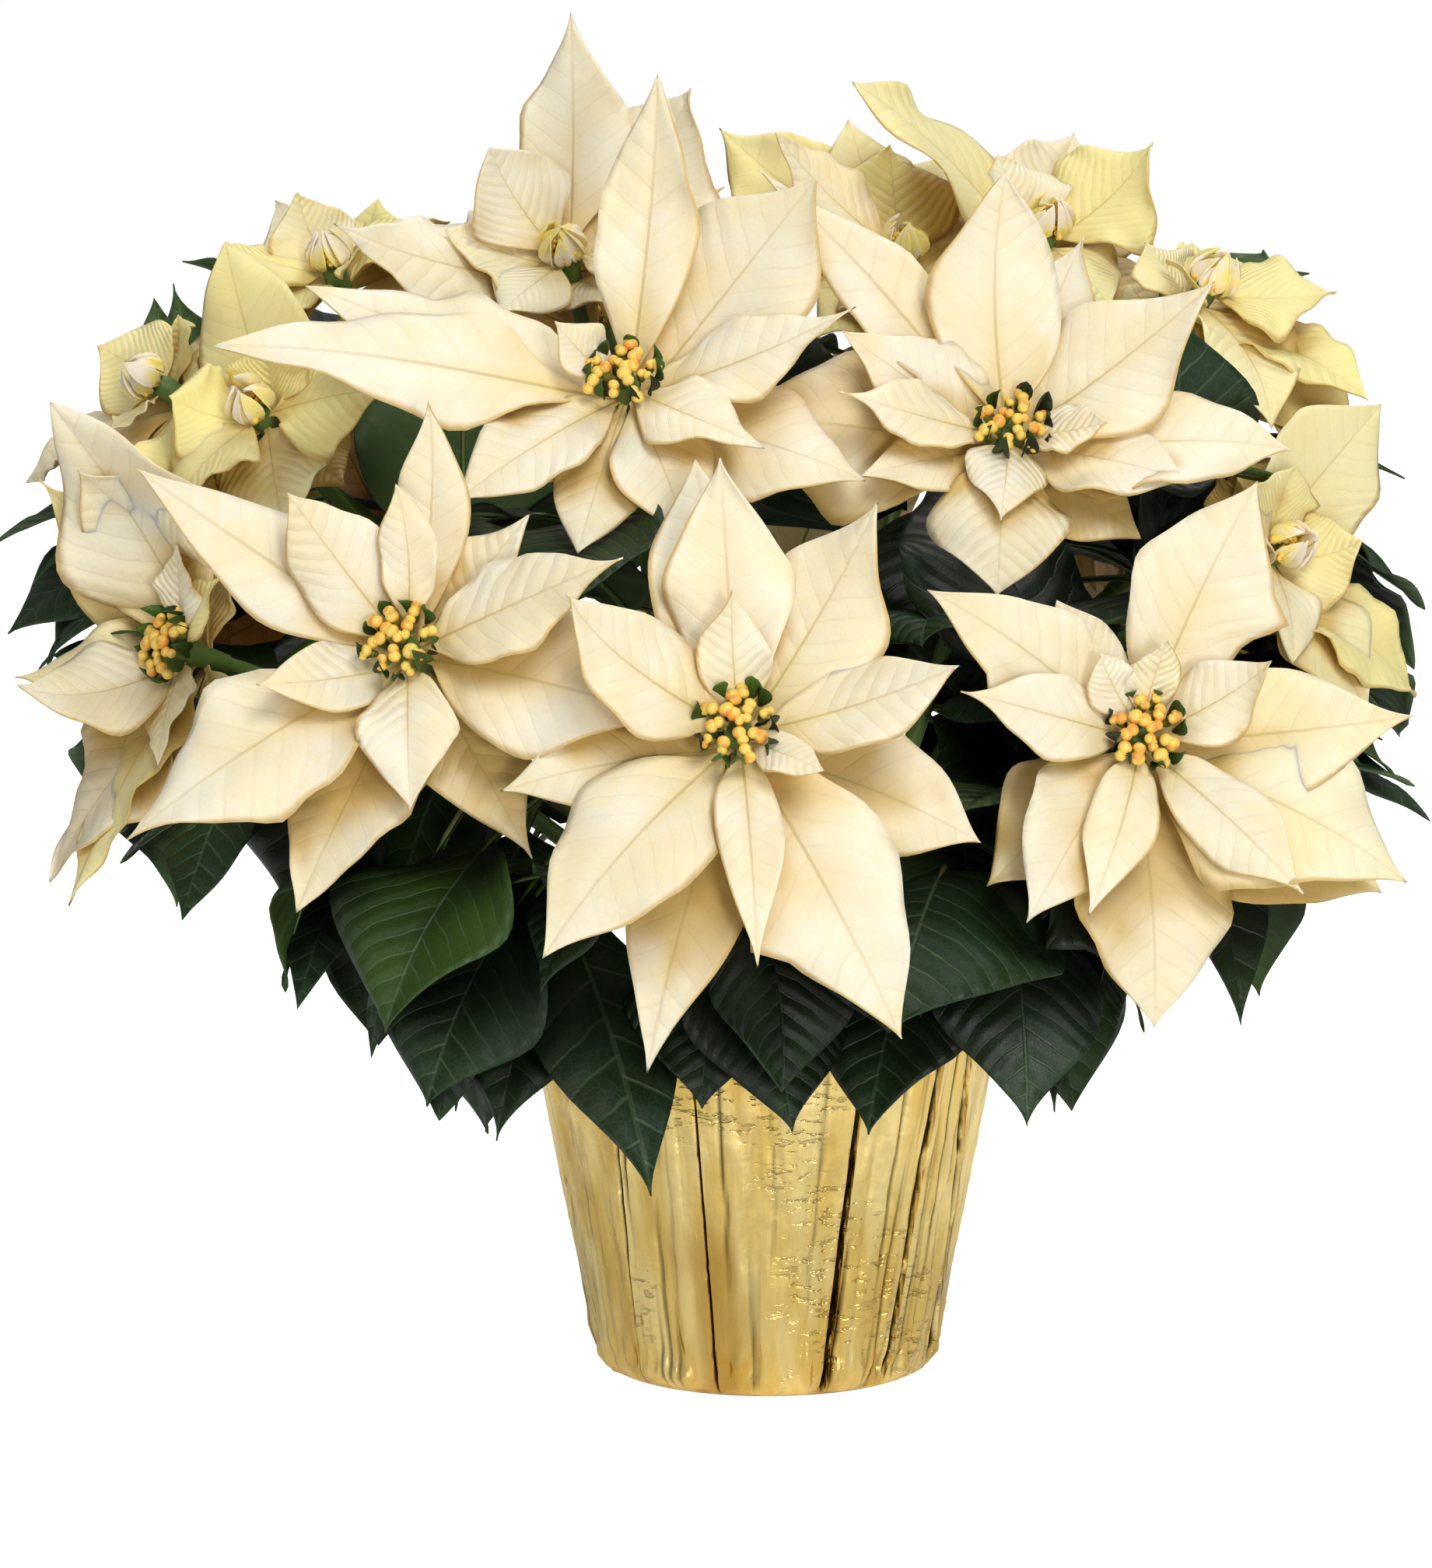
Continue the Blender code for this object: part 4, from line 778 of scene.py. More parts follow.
# %% Bracts by row and by rule
def bract_by_row(bloom, order, count, row, chance):
    """A bract with a row of its own, where the tip is an offset from the middle of the flowers."""
    right, high, front, width, tooth = row
    chord = np.array([right, -front, high]) * MM
    return new_bract(bloom, order, count, chord, width * MM, tooth, chance)


def bract_by_rule(bloom, order, count, chance):
    """A bract in the bloom's own spiral: small and raised at the centre, long and low outside."""
    share = order / (count - 1)
    angle = math.radians(GOLDEN_ANGLE * order + chance.uniform(-10, 10))
    right = unit(np.cross(UP, bloom.axis))
    upward = np.cross(bloom.axis, right)
    lift = math.radians(RULE_LIFT[0] + (RULE_LIFT[1] - RULE_LIFT[0]) * share)
    level = upward * math.cos(angle) - right * math.sin(angle)
    chord = level * math.cos(lift) + bloom.axis * math.sin(lift) - UP * 0.12
    length = RULE_LENGTH[0] + (RULE_LENGTH[1] - RULE_LENGTH[0]) * share**0.7
    length *= chance.uniform(0.9, 1.08)
    width = length * RULE_WIDTH_SHARE * chance.uniform(0.86, 1.1)
    tooth = chance.choice((0, 0, 0, 0, 0, 1, -1))
    return new_bract(bloom, order, count, unit(chord) * length, width, tooth, chance)


def new_bract(bloom, order, count, chord, width, tooth, chance):
    depth = BRACT_TOP_DEPTH + (BRACT_LOW_DEPTH - BRACT_TOP_DEPTH) * order / (count - 1)
    level = unit(chord - bloom.axis * np.dot(chord, bloom.axis))
    base = bloom.hub - bloom.axis * depth + level * BRACT_SEAT
    tip = bloom.hub - bloom.axis * depth * 0.4 + chord
    length = np.linalg.norm(chord)
    raised = max(0.0, float(np.dot(chord, bloom.axis)) / length - CUPPED_FROM)
    bow = chance.uniform(0.10, 0.30) - CUPPING * raised
    rows = TINY_BRACT_ROWS if length < TINY_BRACT else SMALL_BRACT_ROWS
    if bloom.name in BRACTS and length > SMALL_BRACT:
        rows = LONG_BRACT_ROWS if length > LONG_BRACT else BRACT_ROWS
    if tooth:
        rows = TOOTHED_BRACT_ROWS
    node = "bloom_" + bloom.name
    return Blade(node, base, tip, bloom.axis, width, BRACT_STALK, bow, rows, chance, tooth)


print("a bloom by rule has", RULE_COUNT, "bracts, each turned on by", GOLDEN_ANGLE, "degrees")

# %% Leaves by row and by rule
LEAF_STALK_SHARE = 0.34


def leaf_between(bloom, share, tip, width, tooth, rows, chance):
    """A leaf that grows from a bloom's branch and ends at the given tip."""
    place = bloom.on_branch(share)
    chord = tip - place
    face = UP * 1.0 + unit(chord * np.array([1.0, 1.0, 0.001]))
    stalk = min(LEAF_STALK, LEAF_STALK_SHARE * float(np.linalg.norm(chord)))
    bow = chance.uniform(0.22, 0.42)
    rows = TOOTHED_LEAF_ROWS if tooth else rows
    node = "plant_" + bloom.plant
    return Blade(node, place, tip, face, width, stalk, bow, rows, chance, tooth)


def leaf_by_rule(bloom, order, share, chance):
    """A leaf that stands out from its branch and hangs, a golden angle on from the one below."""
    place = bloom.on_branch(share)
    ahead = unit(bloom.on_branch(share + 0.1) - place)
    outward = unit(place * np.array([1.0, 1.0, 0.0]) + np.array([1e-4, 0.0, 0.0]))
    round_by = (order - 1.5) * 62.0 + chance.uniform(-20, 20)
    heading = turned(outward, UP, round_by)
    drop = 0.75 - 0.9 * share + chance.uniform(-0.1, 0.1)
    length = chance.uniform(*RULE_LEAF_LENGTH)
    tip = place + unit(heading + 0.2 * ahead - UP * drop) * length
    width = length * RULE_LEAF_WIDTH_SHARE * chance.uniform(0.85, 1.15)
    tooth = chance.choice((0, 0, 0, 0, 1))
    return leaf_between(bloom, share, tip, width, tooth, PLAIN_LEAF_ROWS, chance)


print("leaves by rule on a branch at the back:", len(RULE_LEAF_SHARES["back"]))

# %% The whole plant
def foil_radius(height):
    return FOIL_BASE_RADIUS + FOIL_SLOPE * height


def fixed_obstacles(blooms, arrangement):
    """Stems, flower clusters and the foil, which stay where they are."""
    for bloom in blooms:
        place, ahead = bloom.branch()
        radii = BRANCH_RADIUS + (BRANCH_TIP_RADIUS - BRANCH_RADIUS) * BRANCH_SHARES + CLEARANCE
        arrangement.fixed.append(ring_obstacle("plant_" + bloom.plant, place, ahead, radii))
        centres = [bloom.hub + bloom.axis * (ring[2] + 0.0008) for ring in CLUSTER_RINGS[:3]]
        radii = [ring[0] + CLEARANCE / 2 for ring in CLUSTER_RINGS[:3]]
        arrangement.fixed.append(
            ring_obstacle("flowers_" + bloom.name, centres, [bloom.axis] * 3, radii, 12)
        )
        hub = [bloom.hub - bloom.axis * HUB_LENGTH, bloom.hub]
        arrangement.fixed.append(
            ring_obstacle("bloom_" + bloom.name, hub, [bloom.axis] * 2, [HUB_RADIUS + CLEARANCE] * 2)
        )
    heights = np.array([0.0, 0.05, 0.10, FOIL_HEIGHT + 0.002])
    wall = [UP * h for h in heights]
    radii = foil_radius(heights) + 0.004
    arrangement.fixed.append(ring_obstacle("foil_wrap", wall, [UP] * 4, radii, 24))


def arranged(blooms):
    """Every blade of the plant in its final place: front bracts, then leaves, then the rest."""
    arrangement = Arrangement()
    fixed_obstacles(blooms, arrangement)
    by_name = {bloom.name: bloom for bloom in blooms}
    for bloom in blooms:
        chance = random.Random("bracts of " + bloom.name)
        rows = BRACTS.get(bloom.name)
        count = len(rows) if rows else RULE_COUNT
        for order in range(count):
            if rows:
                arrangement.place(bract_by_row(bloom, order, count, rows[order], chance))
            else:
                arrangement.place(bract_by_rule(bloom, order, count, chance))
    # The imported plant's seed, as another one would move the leaves
    chance = random.Random("leaves placed by hand")
    for name, share, tip, width, tooth in LEAVES:
        tip = np.array(tip) * MM
        rows = LEAF_ROWS if width * MM > NARROW_LEAF else PLAIN_LEAF_ROWS
        leaf = leaf_between(by_name[name], share, tip, width * MM, tooth, rows, chance)
        arrangement.place(leaf)
    for bloom in blooms:
        chance = random.Random("leaves of " + bloom.name)
        side = "back" if bloom.hub[1] > 0.09 else "side" if bloom.hub[1] > -0.06 else "front"
        for order, share in enumerate(RULE_LEAF_SHARES[side]):
            arrangement.place(leaf_by_rule(bloom, order, share, chance))
    return arrangement


def along_axis(place, axis):
    """The matrix that stands an upright shape at a place, along an axis."""
    turn = Vector(axis).to_track_quat("Z", "Y").to_matrix().to_4x4()
    return Matrix.Translation(Vector(place)) @ turn


print("foil radius at the rim in mm:", round(foil_radius(FOIL_HEIGHT) / MM, 1))

# %% [markdown]
# ## Veins that follow each blade
#
# A leaf and a bract share one plan: a midrib, side veins that leave it at about sixty degrees and curl
# towards the tip, and a fine net between them. The pattern has to follow each blade however it bends,
# so every blade carries a flat map of itself: how far a point is from base to tip, and how far out from
# the midrib, both as shares of the length. The side veins are stripes across that map.

# %% The vein pattern
VEIN_LEAN = 0.58
VEIN_CURL = 1.05
VEIN_WANDER = 0.045
VEIN_WANDER_STRETCH = (5.0, 5.0, 1.0)
RIB_TAPER = 1.15
NET_WIDTH = 0.12

# Side veins to a blade, the widths of the midrib and of a side vein, and the fineness of the net
BRACT_PLAN = (10.0, 0.0085, 0.09, 34.0)
LEAF_PLAN = (9.0, 0.011, 0.075, 42.0)


def veins(finish, count, midrib_width, vein_width, net_scale):
    """Midrib, side veins and net, each 1 on a vein and 0 off it, and the swell between side veins."""
    flat = finish.node("ShaderNodeUVMap", {"uv_map": "blade"})
    along, out, _ = finish.parts(flat)
    out = out - 0.5
    side = out.above(0.0)
    reach = abs(out)
    wander = finish.cloud(finish.stretched(flat, VEIN_WANDER_STRETCH), 1.6, 2.0) * VEIN_WANDER
    stripe = (along + wander - VEIN_LEAN * reach - VEIN_CURL * reach * reach) * count + side * 0.5
    from_vein = abs(stripe.fraction() - 0.5)
    midrib = finish.eased(reach, midrib_width * 0.3, midrib_width, 1.0, 0.0) * (RIB_TAPER - along)
    lateral = finish.eased(from_vein, vein_width * 0.25, vein_width, 1.0, 0.0)
    cells = finish.node(
        "ShaderNodeTexVoronoi", {"feature": "DISTANCE_TO_EDGE"}, {"Vector": flat, "Scale": net_scale}
    )
    net = finish.eased(cells, 0.0, NET_WIDTH, 1.0, 0.0)
    swell = finish.eased(from_vein, 0.0, 0.5)
    return along, reach, midrib, lateral, net, swell


def blade_facts(finish):
    """What each blade says of itself: from rib to edge, its own tint, and the share of light others stop."""
    told = finish.node("ShaderNodeAttribute", {"attribute_name": "blade_facts"}, output="Vector")
    return finish.parts(told)


print("side veins on each half of a bract:", BRACT_PLAN[0], "and of a leaf:", LEAF_PLAN[0])

# %% [markdown]
# ## The bracts' cream
#
# A bract is thin, and light goes through it: where one shades another the shadow is warm gold and not
# grey. Scattering under the surface gives part of that, because each bract is a closed sheet of 0.6 mm;
# the rest is painted shade, gold in the colour where other blades stop the light and along each lower
# rim. Its colour is cream, warmer near the base and yellower in some blooms, in left_mid partly as
# painted shade, and greenish along the veins. The underside has the same colours, and its veins stand
# out more.

# %% Bract finishes
CREAM = (0.94, 0.785, 0.52, 1.0)
PALE_CREAM = (0.97, 0.86, 0.68, 1.0)
PEACH = (0.94, 0.72, 0.44, 1.0)
YOUNG_YELLOW = (0.95, 0.80, 0.25, 1.0)
BASE_GOLD = (0.80, 0.58, 0.18, 1.0)
SHADED_GOLD = (0.62, 0.42, 0.11, 1.0)
RIB_GREEN = (0.42, 0.33, 0.06, 1.0)
GLOW = (1.0, 0.76, 0.28)
BRACT_DEPTH = 0.0012
BRACT_RELIEF = 0.0009


def bract_finish(name, vein_share, relief):
    """Cream, warmed at the base and along the rib, gold painted shade where covered, veins and a pucker."""
    finish = Finish(name, Subsurface_Weight=0.5, Subsurface_Radius=GLOW, Subsurface_Scale=BRACT_DEPTH)
    along, reach, midrib, lateral, net, swell = veins(finish, *BRACT_PLAN)
    edge, tint, covered = blade_facts(finish)
    mottle = finish.cloud(finish.place(), 38.0, 4.0)
    colour = finish.mixed(finish.eased(mottle, 0.3, 0.7), CREAM, PALE_CREAM)
    colour = finish.mixed(finish.eased(along, 0.55, 0.0, 0.0, 0.34) * tint, colour, PEACH)
    # The bloom's own yellow, and in left_mid partly painted shade
    colour = finish.mixed(finish.eased(tint, 0.50, 1.0, 0.0, 0.75), colour, YOUNG_YELLOW)
    colour = finish.mixed(finish.eased(along, 0.36, 0.0, 0.0, 0.70), colour, BASE_GOLD)
    flush = finish.eased(reach, 0.0, 0.055, 1.0, 0.0) * finish.eased(along, 0.80, 0.10)
    colour = finish.mixed(flush * 0.38, colour, BASE_GOLD)
    # Painted shade: gold where other blades stop the light on its way to the bract
    shaded = finish.eased(covered + mottle * 0.2, 0.30, 0.95, 0.0, 0.95)
    colour = finish.mixed(shaded, colour, SHADED_GOLD)
    # Painted shade: a gold rim along the lower edge of each bract
    colour = finish.mixed(finish.eased(edge, 0.88, 0.99, 0.0, 0.75), colour, SHADED_GOLD)
    shown = finish.eased(finish.cloud(finish.place(), 24.0, 2.0), 0.40, 0.62, 0.25, 1.0)
    fine = lateral * shown * (0.10 * vein_share) + net * (0.03 * vein_share)
    colour = finish.mixed(fine, colour, RIB_GREEN)
    colour = finish.mixed(midrib * (0.52 * vein_share), colour, RIB_GREEN)
    pucker = finish.cloud(finish.place(), 120.0, 3.0, 0.55)
    height = swell * shown * 0.55 - lateral * 0.12 - net * 0.03 - midrib * 0.25
    height = height + mottle * 0.6 + pucker * 0.5
    return finish.wear(
        Base_Color=colour,
        Roughness=finish.eased(mottle, 0.2, 0.8, 0.48, 0.62),
        Normal=finish.relief(height, relief, BRACT_RELIEF),
    )


bract_upper = bract_finish("bract_upper_face", 1.0, 0.60)
bract_under = bract_finish("bract_under_face", 2.4, 0.85)
print("bract finishes made")

# %% [markdown]
# ## The leaves' green
#
# The leaves are a deep blue green with a soft shine, and pale veins that read from across a room. The
# face swells between the veins, which breaks the shine into bars. The underside is lighter and duller.
# Where other blades stop the light, painted shade darkens a leaf nearly to black.

# %% Leaf finishes
DEEP_GREEN = (0.0115, 0.0310, 0.0060, 1.0)
BLUE_GREEN = (0.0125, 0.0350, 0.0120, 1.0)
FRESH_GREEN = (0.062, 0.130, 0.012, 1.0)
UNDER_GREEN = (0.075, 0.135, 0.040, 1.0)
SHADED_GREEN = (0.0030, 0.0060, 0.0020, 1.0)
VEIN_PALE = (0.105, 0.175, 0.085, 1.0)
LEAF_GLOW = (0.5, 1.0, 0.2)
LEAF_DEPTH = 0.0008
LEAF_SHINE = 0.34
LEAF_RELIEF = 0.0012


def leaf_finish(name, deep, blue, vein_share, roughness):
    """Green with pale veins, fresher in some leaves, and painted shade, nearly black, where covered."""
    finish = Finish(
        name,
        Subsurface_Weight=0.12,
        Subsurface_Radius=LEAF_GLOW,
        Subsurface_Scale=LEAF_DEPTH,
        Specular_IOR_Level=LEAF_SHINE,
    )
    _, _, midrib, lateral, net, swell = veins(finish, *LEAF_PLAN)
    edge, tint, covered = blade_facts(finish)
    mottle = finish.cloud(finish.place(), 30.0, 4.0)
    colour = finish.mixed(finish.eased(mottle, 0.35, 0.65), deep, blue)
    colour = finish.mixed(finish.eased(tint, 0.66, 1.0, 0.0, 0.60), colour, FRESH_GREEN)
    colour = finish.mixed(net * (0.10 * vein_share), colour, VEIN_PALE)
    colour = finish.mixed(lateral * (0.52 * vein_share) * (1.1 - edge), colour, VEIN_PALE)
    colour = finish.mixed(midrib * (0.85 * vein_share), colour, VEIN_PALE)
    # Painted shade: nearly black where other blades stop the light
    colour = finish.mixed(finish.eased(covered, 0.30, 0.95, 0.0, 0.92), colour, SHADED_GREEN)
    height = swell * 0.45 - lateral * 0.20 - net * 0.04 - midrib * 0.6 + mottle * 0.6
    return finish.wear(
        Base_Color=colour,
        Roughness=finish.eased(mottle, 0.2, 0.8, roughness, roughness + 0.14),
        Normal=finish.relief(height, 0.75, LEAF_RELIEF),
    )


leaf_upper = leaf_finish("leaf_upper_face", DEEP_GREEN, BLUE_GREEN, 1.0, 0.40)
leaf_under = leaf_finish("leaf_under_face", UNDER_GREEN, UNDER_GREEN, 0.8, 0.60)
# The leaflets are patched with the near-black shaded green, painted shade of the hollow in the button
leaflet_green = leaf_finish("leaflet_green", SHADED_GREEN, FRESH_GREEN, 0.3, 0.45)
print("leaf finishes made")

# %% [markdown]
# ## Stems and the small flowers
#
# Stems are green and turn to brown wood in patches, and the small flowers are green cups with orange
# beads. On things so small a colour in two tones with fine relief is enough, so one helper makes it.

# %% Stem, cup, bead and leaflet finishes
STEM_GREEN = (0.11, 0.19, 0.035, 1.0)
STEM_WOOD = (0.20, 0.13, 0.06, 1.0)
CUP_GREEN = (0.050, 0.075, 0.008, 1.0)
CUP_YELLOW = (0.26, 0.25, 0.022, 1.0)
BEAD_YELLOW = (0.95, 0.66, 0.12, 1.0)
BEAD_ORANGE = (0.90, 0.38, 0.05, 1.0)
SPECKLE_RELIEF = 0.0006


def speckled(name, first, second, scale, roughness, relief, low=0.4, high=0.6, **even):
    """Two colours in soft patches, with fine relief."""
    finish = Finish(name, **even)
    patches = finish.cloud(finish.place(), scale, 4.0)
    colour = finish.mixed(finish.eased(patches, low, high), first, second)
    return finish.wear(
        Base_Color=colour,
        Roughness=finish.eased(patches, 0.2, 0.8, roughness, roughness + 0.15),
        Normal=finish.relief(patches, relief, SPECKLE_RELIEF),
    )


stem_green = speckled("stem_green", STEM_GREEN, STEM_WOOD, 60.0, 0.45, 0.5, 0.50, 0.80)
cup_green = speckled("cup_green", CUP_GREEN, CUP_YELLOW, 260.0, 0.40, 0.4)
young_bract = speckled("young_bract", PALE_CREAM, YOUNG_YELLOW, 80.0, 0.5, 0.4)
bead_gold = speckled("bead_gold", BEAD_YELLOW, BEAD_ORANGE, 190.0, 0.28, 0.3, 0.48, 0.66, Coat_Weight=0.25)
print("stem, cup, young bract and bead finishes made")

# %% [markdown]
# ## Foil, plastic and mix
#
# The wrap is thin metal foil on paper with a soft gold shine, fluted from top to bottom where it was drawn
# round the pot. Upright streaks and broad darker bands in its colour are painted reflection, and darker
# patches of small dents and nearly black folds are painted shade. The pot inside is dull brown plastic,
# and the mix is peat with specks of bark and perlite.

# %% Foil, pot and mix finishes
GOLD = (0.90, 0.64, 0.18, 1.0)
PALE_GOLD = (1.0, 0.80, 0.34, 1.0)
REFLECTED_BAND_GOLD = (0.58, 0.34, 0.06, 1.0)
FOIL_SHADE = (0.035, 0.017, 0.004, 1.0)
POT_BROWN = (0.13, 0.060, 0.035, 1.0)
POT_WORN = (0.20, 0.10, 0.06, 1.0)
PEAT = (0.030, 0.018, 0.011, 1.0)
BARK = (0.115, 0.065, 0.034, 1.0)
PERLITE_WHITE = (0.62, 0.59, 0.52, 1.0)
PERLITE_DUSTY = (0.35, 0.30, 0.24, 1.0)
STREAKS = (1.0, 1.0, 0.05)
BROAD_BANDS = (1.0, 1.0, 0.25)
FLAT_DENTS = (0.5, 0.5, 1.5)
FOIL_RELIEF = 0.0030


def foil_finish():
    """Metal with upright streaks and bands of painted reflection, painted shade in dents and every fold."""
    finish = Finish("foil_gold", Metallic=1.0)
    place = finish.place()
    streak = finish.cloud(finish.stretched(place, STREAKS), 120.0)
    crinkle = finish.cloud(place, 75.0)
    broad = finish.cloud(finish.stretched(place, BROAD_BANDS), 34.0)
    fold = finish.node("ShaderNodeAttribute", {"attribute_name": "fold_depth"}, output="Fac")
    # Painted reflection: upright streaks and broad darker bands stand in for what crinkled foil mirrors
    colour = finish.mixed(finish.eased(streak, 0.30, 0.70), GOLD, PALE_GOLD)
    colour = finish.mixed(finish.eased(broad, 0.34, 0.52, 0.75, 0.0), colour, REFLECTED_BAND_GOLD)
    # Painted shade: darker patches where the foil is dented flat
    dents = finish.cloud(finish.stretched(place, FLAT_DENTS), 260.0, 3.0, 0.6)
    dented = finish.eased(finish.cloud(place, 17.0, 2.0), 0.52, 0.64)
    dented = dented * finish.eased(dents, 0.45, 0.34)
    colour = finish.mixed(dented * 0.26, colour, FOIL_SHADE)
    # Painted shade: a nearly black line down every fold
    colour = finish.mixed(finish.eased(fold, 0.12, 0.70), colour, FOIL_SHADE)
    height = streak * 0.8 + crinkle * 0.35 + broad * 1.2 - dented * 0.14
    return finish.wear(
        Base_Color=colour,
        Roughness=finish.eased(crinkle, 0.35, 0.65, 0.24, 0.36),
        Normal=finish.relief(height, 0.9, FOIL_RELIEF),
    )


foil_gold = foil_finish()
pot_plastic = speckled("pot_plastic", POT_BROWN, POT_WORN, 90.0, 0.50, 0.25)
mix_brown = speckled("mix_brown", PEAT, BARK, 420.0, 0.88, 1.0)
perlite = speckled("perlite", PERLITE_WHITE, PERLITE_DUSTY, 500.0, 0.85, 0.9)
print("foil, pot and mix finishes made")

# %% [markdown]
# ## Thin blades from one flat pattern
#
# A bract or leaf is first cut flat: a grid is added once, and each blade is a copy of it whose points
# are laid on the blade's own surface. Small ruffles are added near the margin, where a real blade grows
# faster than its rib. All blades of a bloom are joined, their tips are merged to a point, and Solidify
# turns the open sheets into closed ones, with the underside wearing a finish of its own.

# %% Helpers that dress, name, join and copy
def select_only(made):
    bpy.ops.object.select_all(action="DESELECT")
    made.select_set(True)
    bpy.context.view_layer.objects.active = made


def dressed(made, finishes):
    """Gives a piece its materials, before anything tells its faces which of them to wear."""
    for finish in finishes:
        made.data.materials.append(finish)
    return made


def finished(made, name):
    """Names a finished piece and lets it ride."""
    made.name = made.data.name = name
    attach(made, "root")
    return made


def joined(parts):
    """Several objects as one."""
    bpy.ops.object.select_all(action="DESELECT")
    for part in parts:
        part.select_set(True)
    bpy.context.view_layer.objects.active = parts[0]
    bpy.ops.object.join()
    return parts[0]


def copy_of(pattern):
    """A copy with its own mesh."""
    made = bpy.data.objects.new("copy", pattern.data.copy())
    bpy.context.scene.collection.objects.link(made)
    return made


# %% The flat pattern
STALK_ROWS = 5
OPEN_ROWS = 27
ACROSS = (-1.0, -0.86, -0.68, -0.5, -0.32, -0.15, 0.0, 0.15, 0.32, 0.5, 0.68, 0.86, 1.0)

bpy.ops.mesh.primitive_grid_add(
    x_subdivisions=len(ACROSS) - 1, y_subdivisions=STALK_ROWS + OPEN_ROWS - 1, size=1.0
)
flat_pattern = bpy.context.object
flat_pattern.name = "flat_pattern"
bpy.ops.object.shade_smooth()
flat_pattern.data.uv_layers[0].name = "blade"
flat_pattern.data.attributes.new("blade_facts", "FLOAT_VECTOR", "POINT")
print("points in the flat pattern:", len(flat_pattern.data.vertices))

# %% How much light other blades stop
# Directions that light comes from, how far along them a blade still shades, and where a ray starts
LIGHT_PATHS = (
    (-0.34, -0.72, 0.60), (0.45, -0.75, 0.48), (0.0, -0.50, 0.86), (0.10, 0.25, 0.96),
    (-0.75, -0.30, 0.58), (0.0, -0.97, 0.22),
)
LIGHT_REACH = 0.11
LIGHT_START = 0.0022
LIGHT_STEP = 3
COARSE_ALONG = np.linspace(0.0, 1.0, 11)
COARSE_ACROSS = (-1.0, -0.5, 0.0, 0.5, 1.0)


def coarse_sheets(blades):
    """One tree of all the blades' middle surfaces, against which the paths of light are tried."""
    wide = len(COARSE_ACROSS)
    points, faces = [], []
    for blade in blades:
        grid, _ = blade.surface(COARSE_ALONG, COARSE_ACROSS)
        first = len(points)
        points.extend(grid.reshape(-1, 3).tolist())
        for row in range(len(COARSE_ALONG) - 1):
            for column in range(wide - 1):
                corner = first + row * wide + column
                faces.append((corner, corner + 1, corner + wide + 1, corner + wide))
    return BVHTree.FromPolygons(points, faces)


def covered_share(points, tree):
    """How much of the light is stopped on its way to each point by other blades."""
    some = points[::LIGHT_STEP, ::LIGHT_STEP]
    stopped = np.zeros(some.shape[:2])
    for spot in np.ndindex(stopped.shape):
        place = Vector(some[spot])
        for path in LIGHT_PATHS:
            toward = Vector(path)
            met = tree.ray_cast(place + toward * LIGHT_START, toward, LIGHT_REACH)[0]
            stopped[spot] += met is not None
    stopped /= len(LIGHT_PATHS)
    rows, columns = np.arange(points.shape[0]), np.arange(points.shape[1])
    by_row = np.array([np.interp(columns, columns[::LIGHT_STEP], line) for line in stopped])
    return np.array([np.interp(rows, rows[::LIGHT_STEP], line) for line in by_row.T]).T


print("paths of light tried at a point:", len(LIGHT_PATHS))

# %% Laying a copy on a blade
RUFFLE = 0.030
RUFFLE_TURNS = (2.6, 5.5)
ROLL = 0.10
ROLL_FROM = 0.55
PROUD = 0.008
PROUD_BELOW = 0.030
MARGIN_WANDER = 0.055
UPPER_RIM = 0.90


def row_shares(blade):
    """Where the pattern's rows go along a blade: a few on the stalk, more on the open part."""
    start = blade.stalk_share()
    stalk = np.linspace(0.0, start, STALK_ROWS, endpoint=False)
    even = np.linspace(0.0, 1.0, OPEN_ROWS)
    open_part = 0.6 * even + 0.4 * (1.0 - np.cos(math.pi * even)) / 2
    if blade.tooth:
        open_part[np.abs(open_part - TOOTH_PLACE).argmin()] = TOOTH_PLACE
    return np.concatenate([stalk, start + (1.0 - start) * open_part])


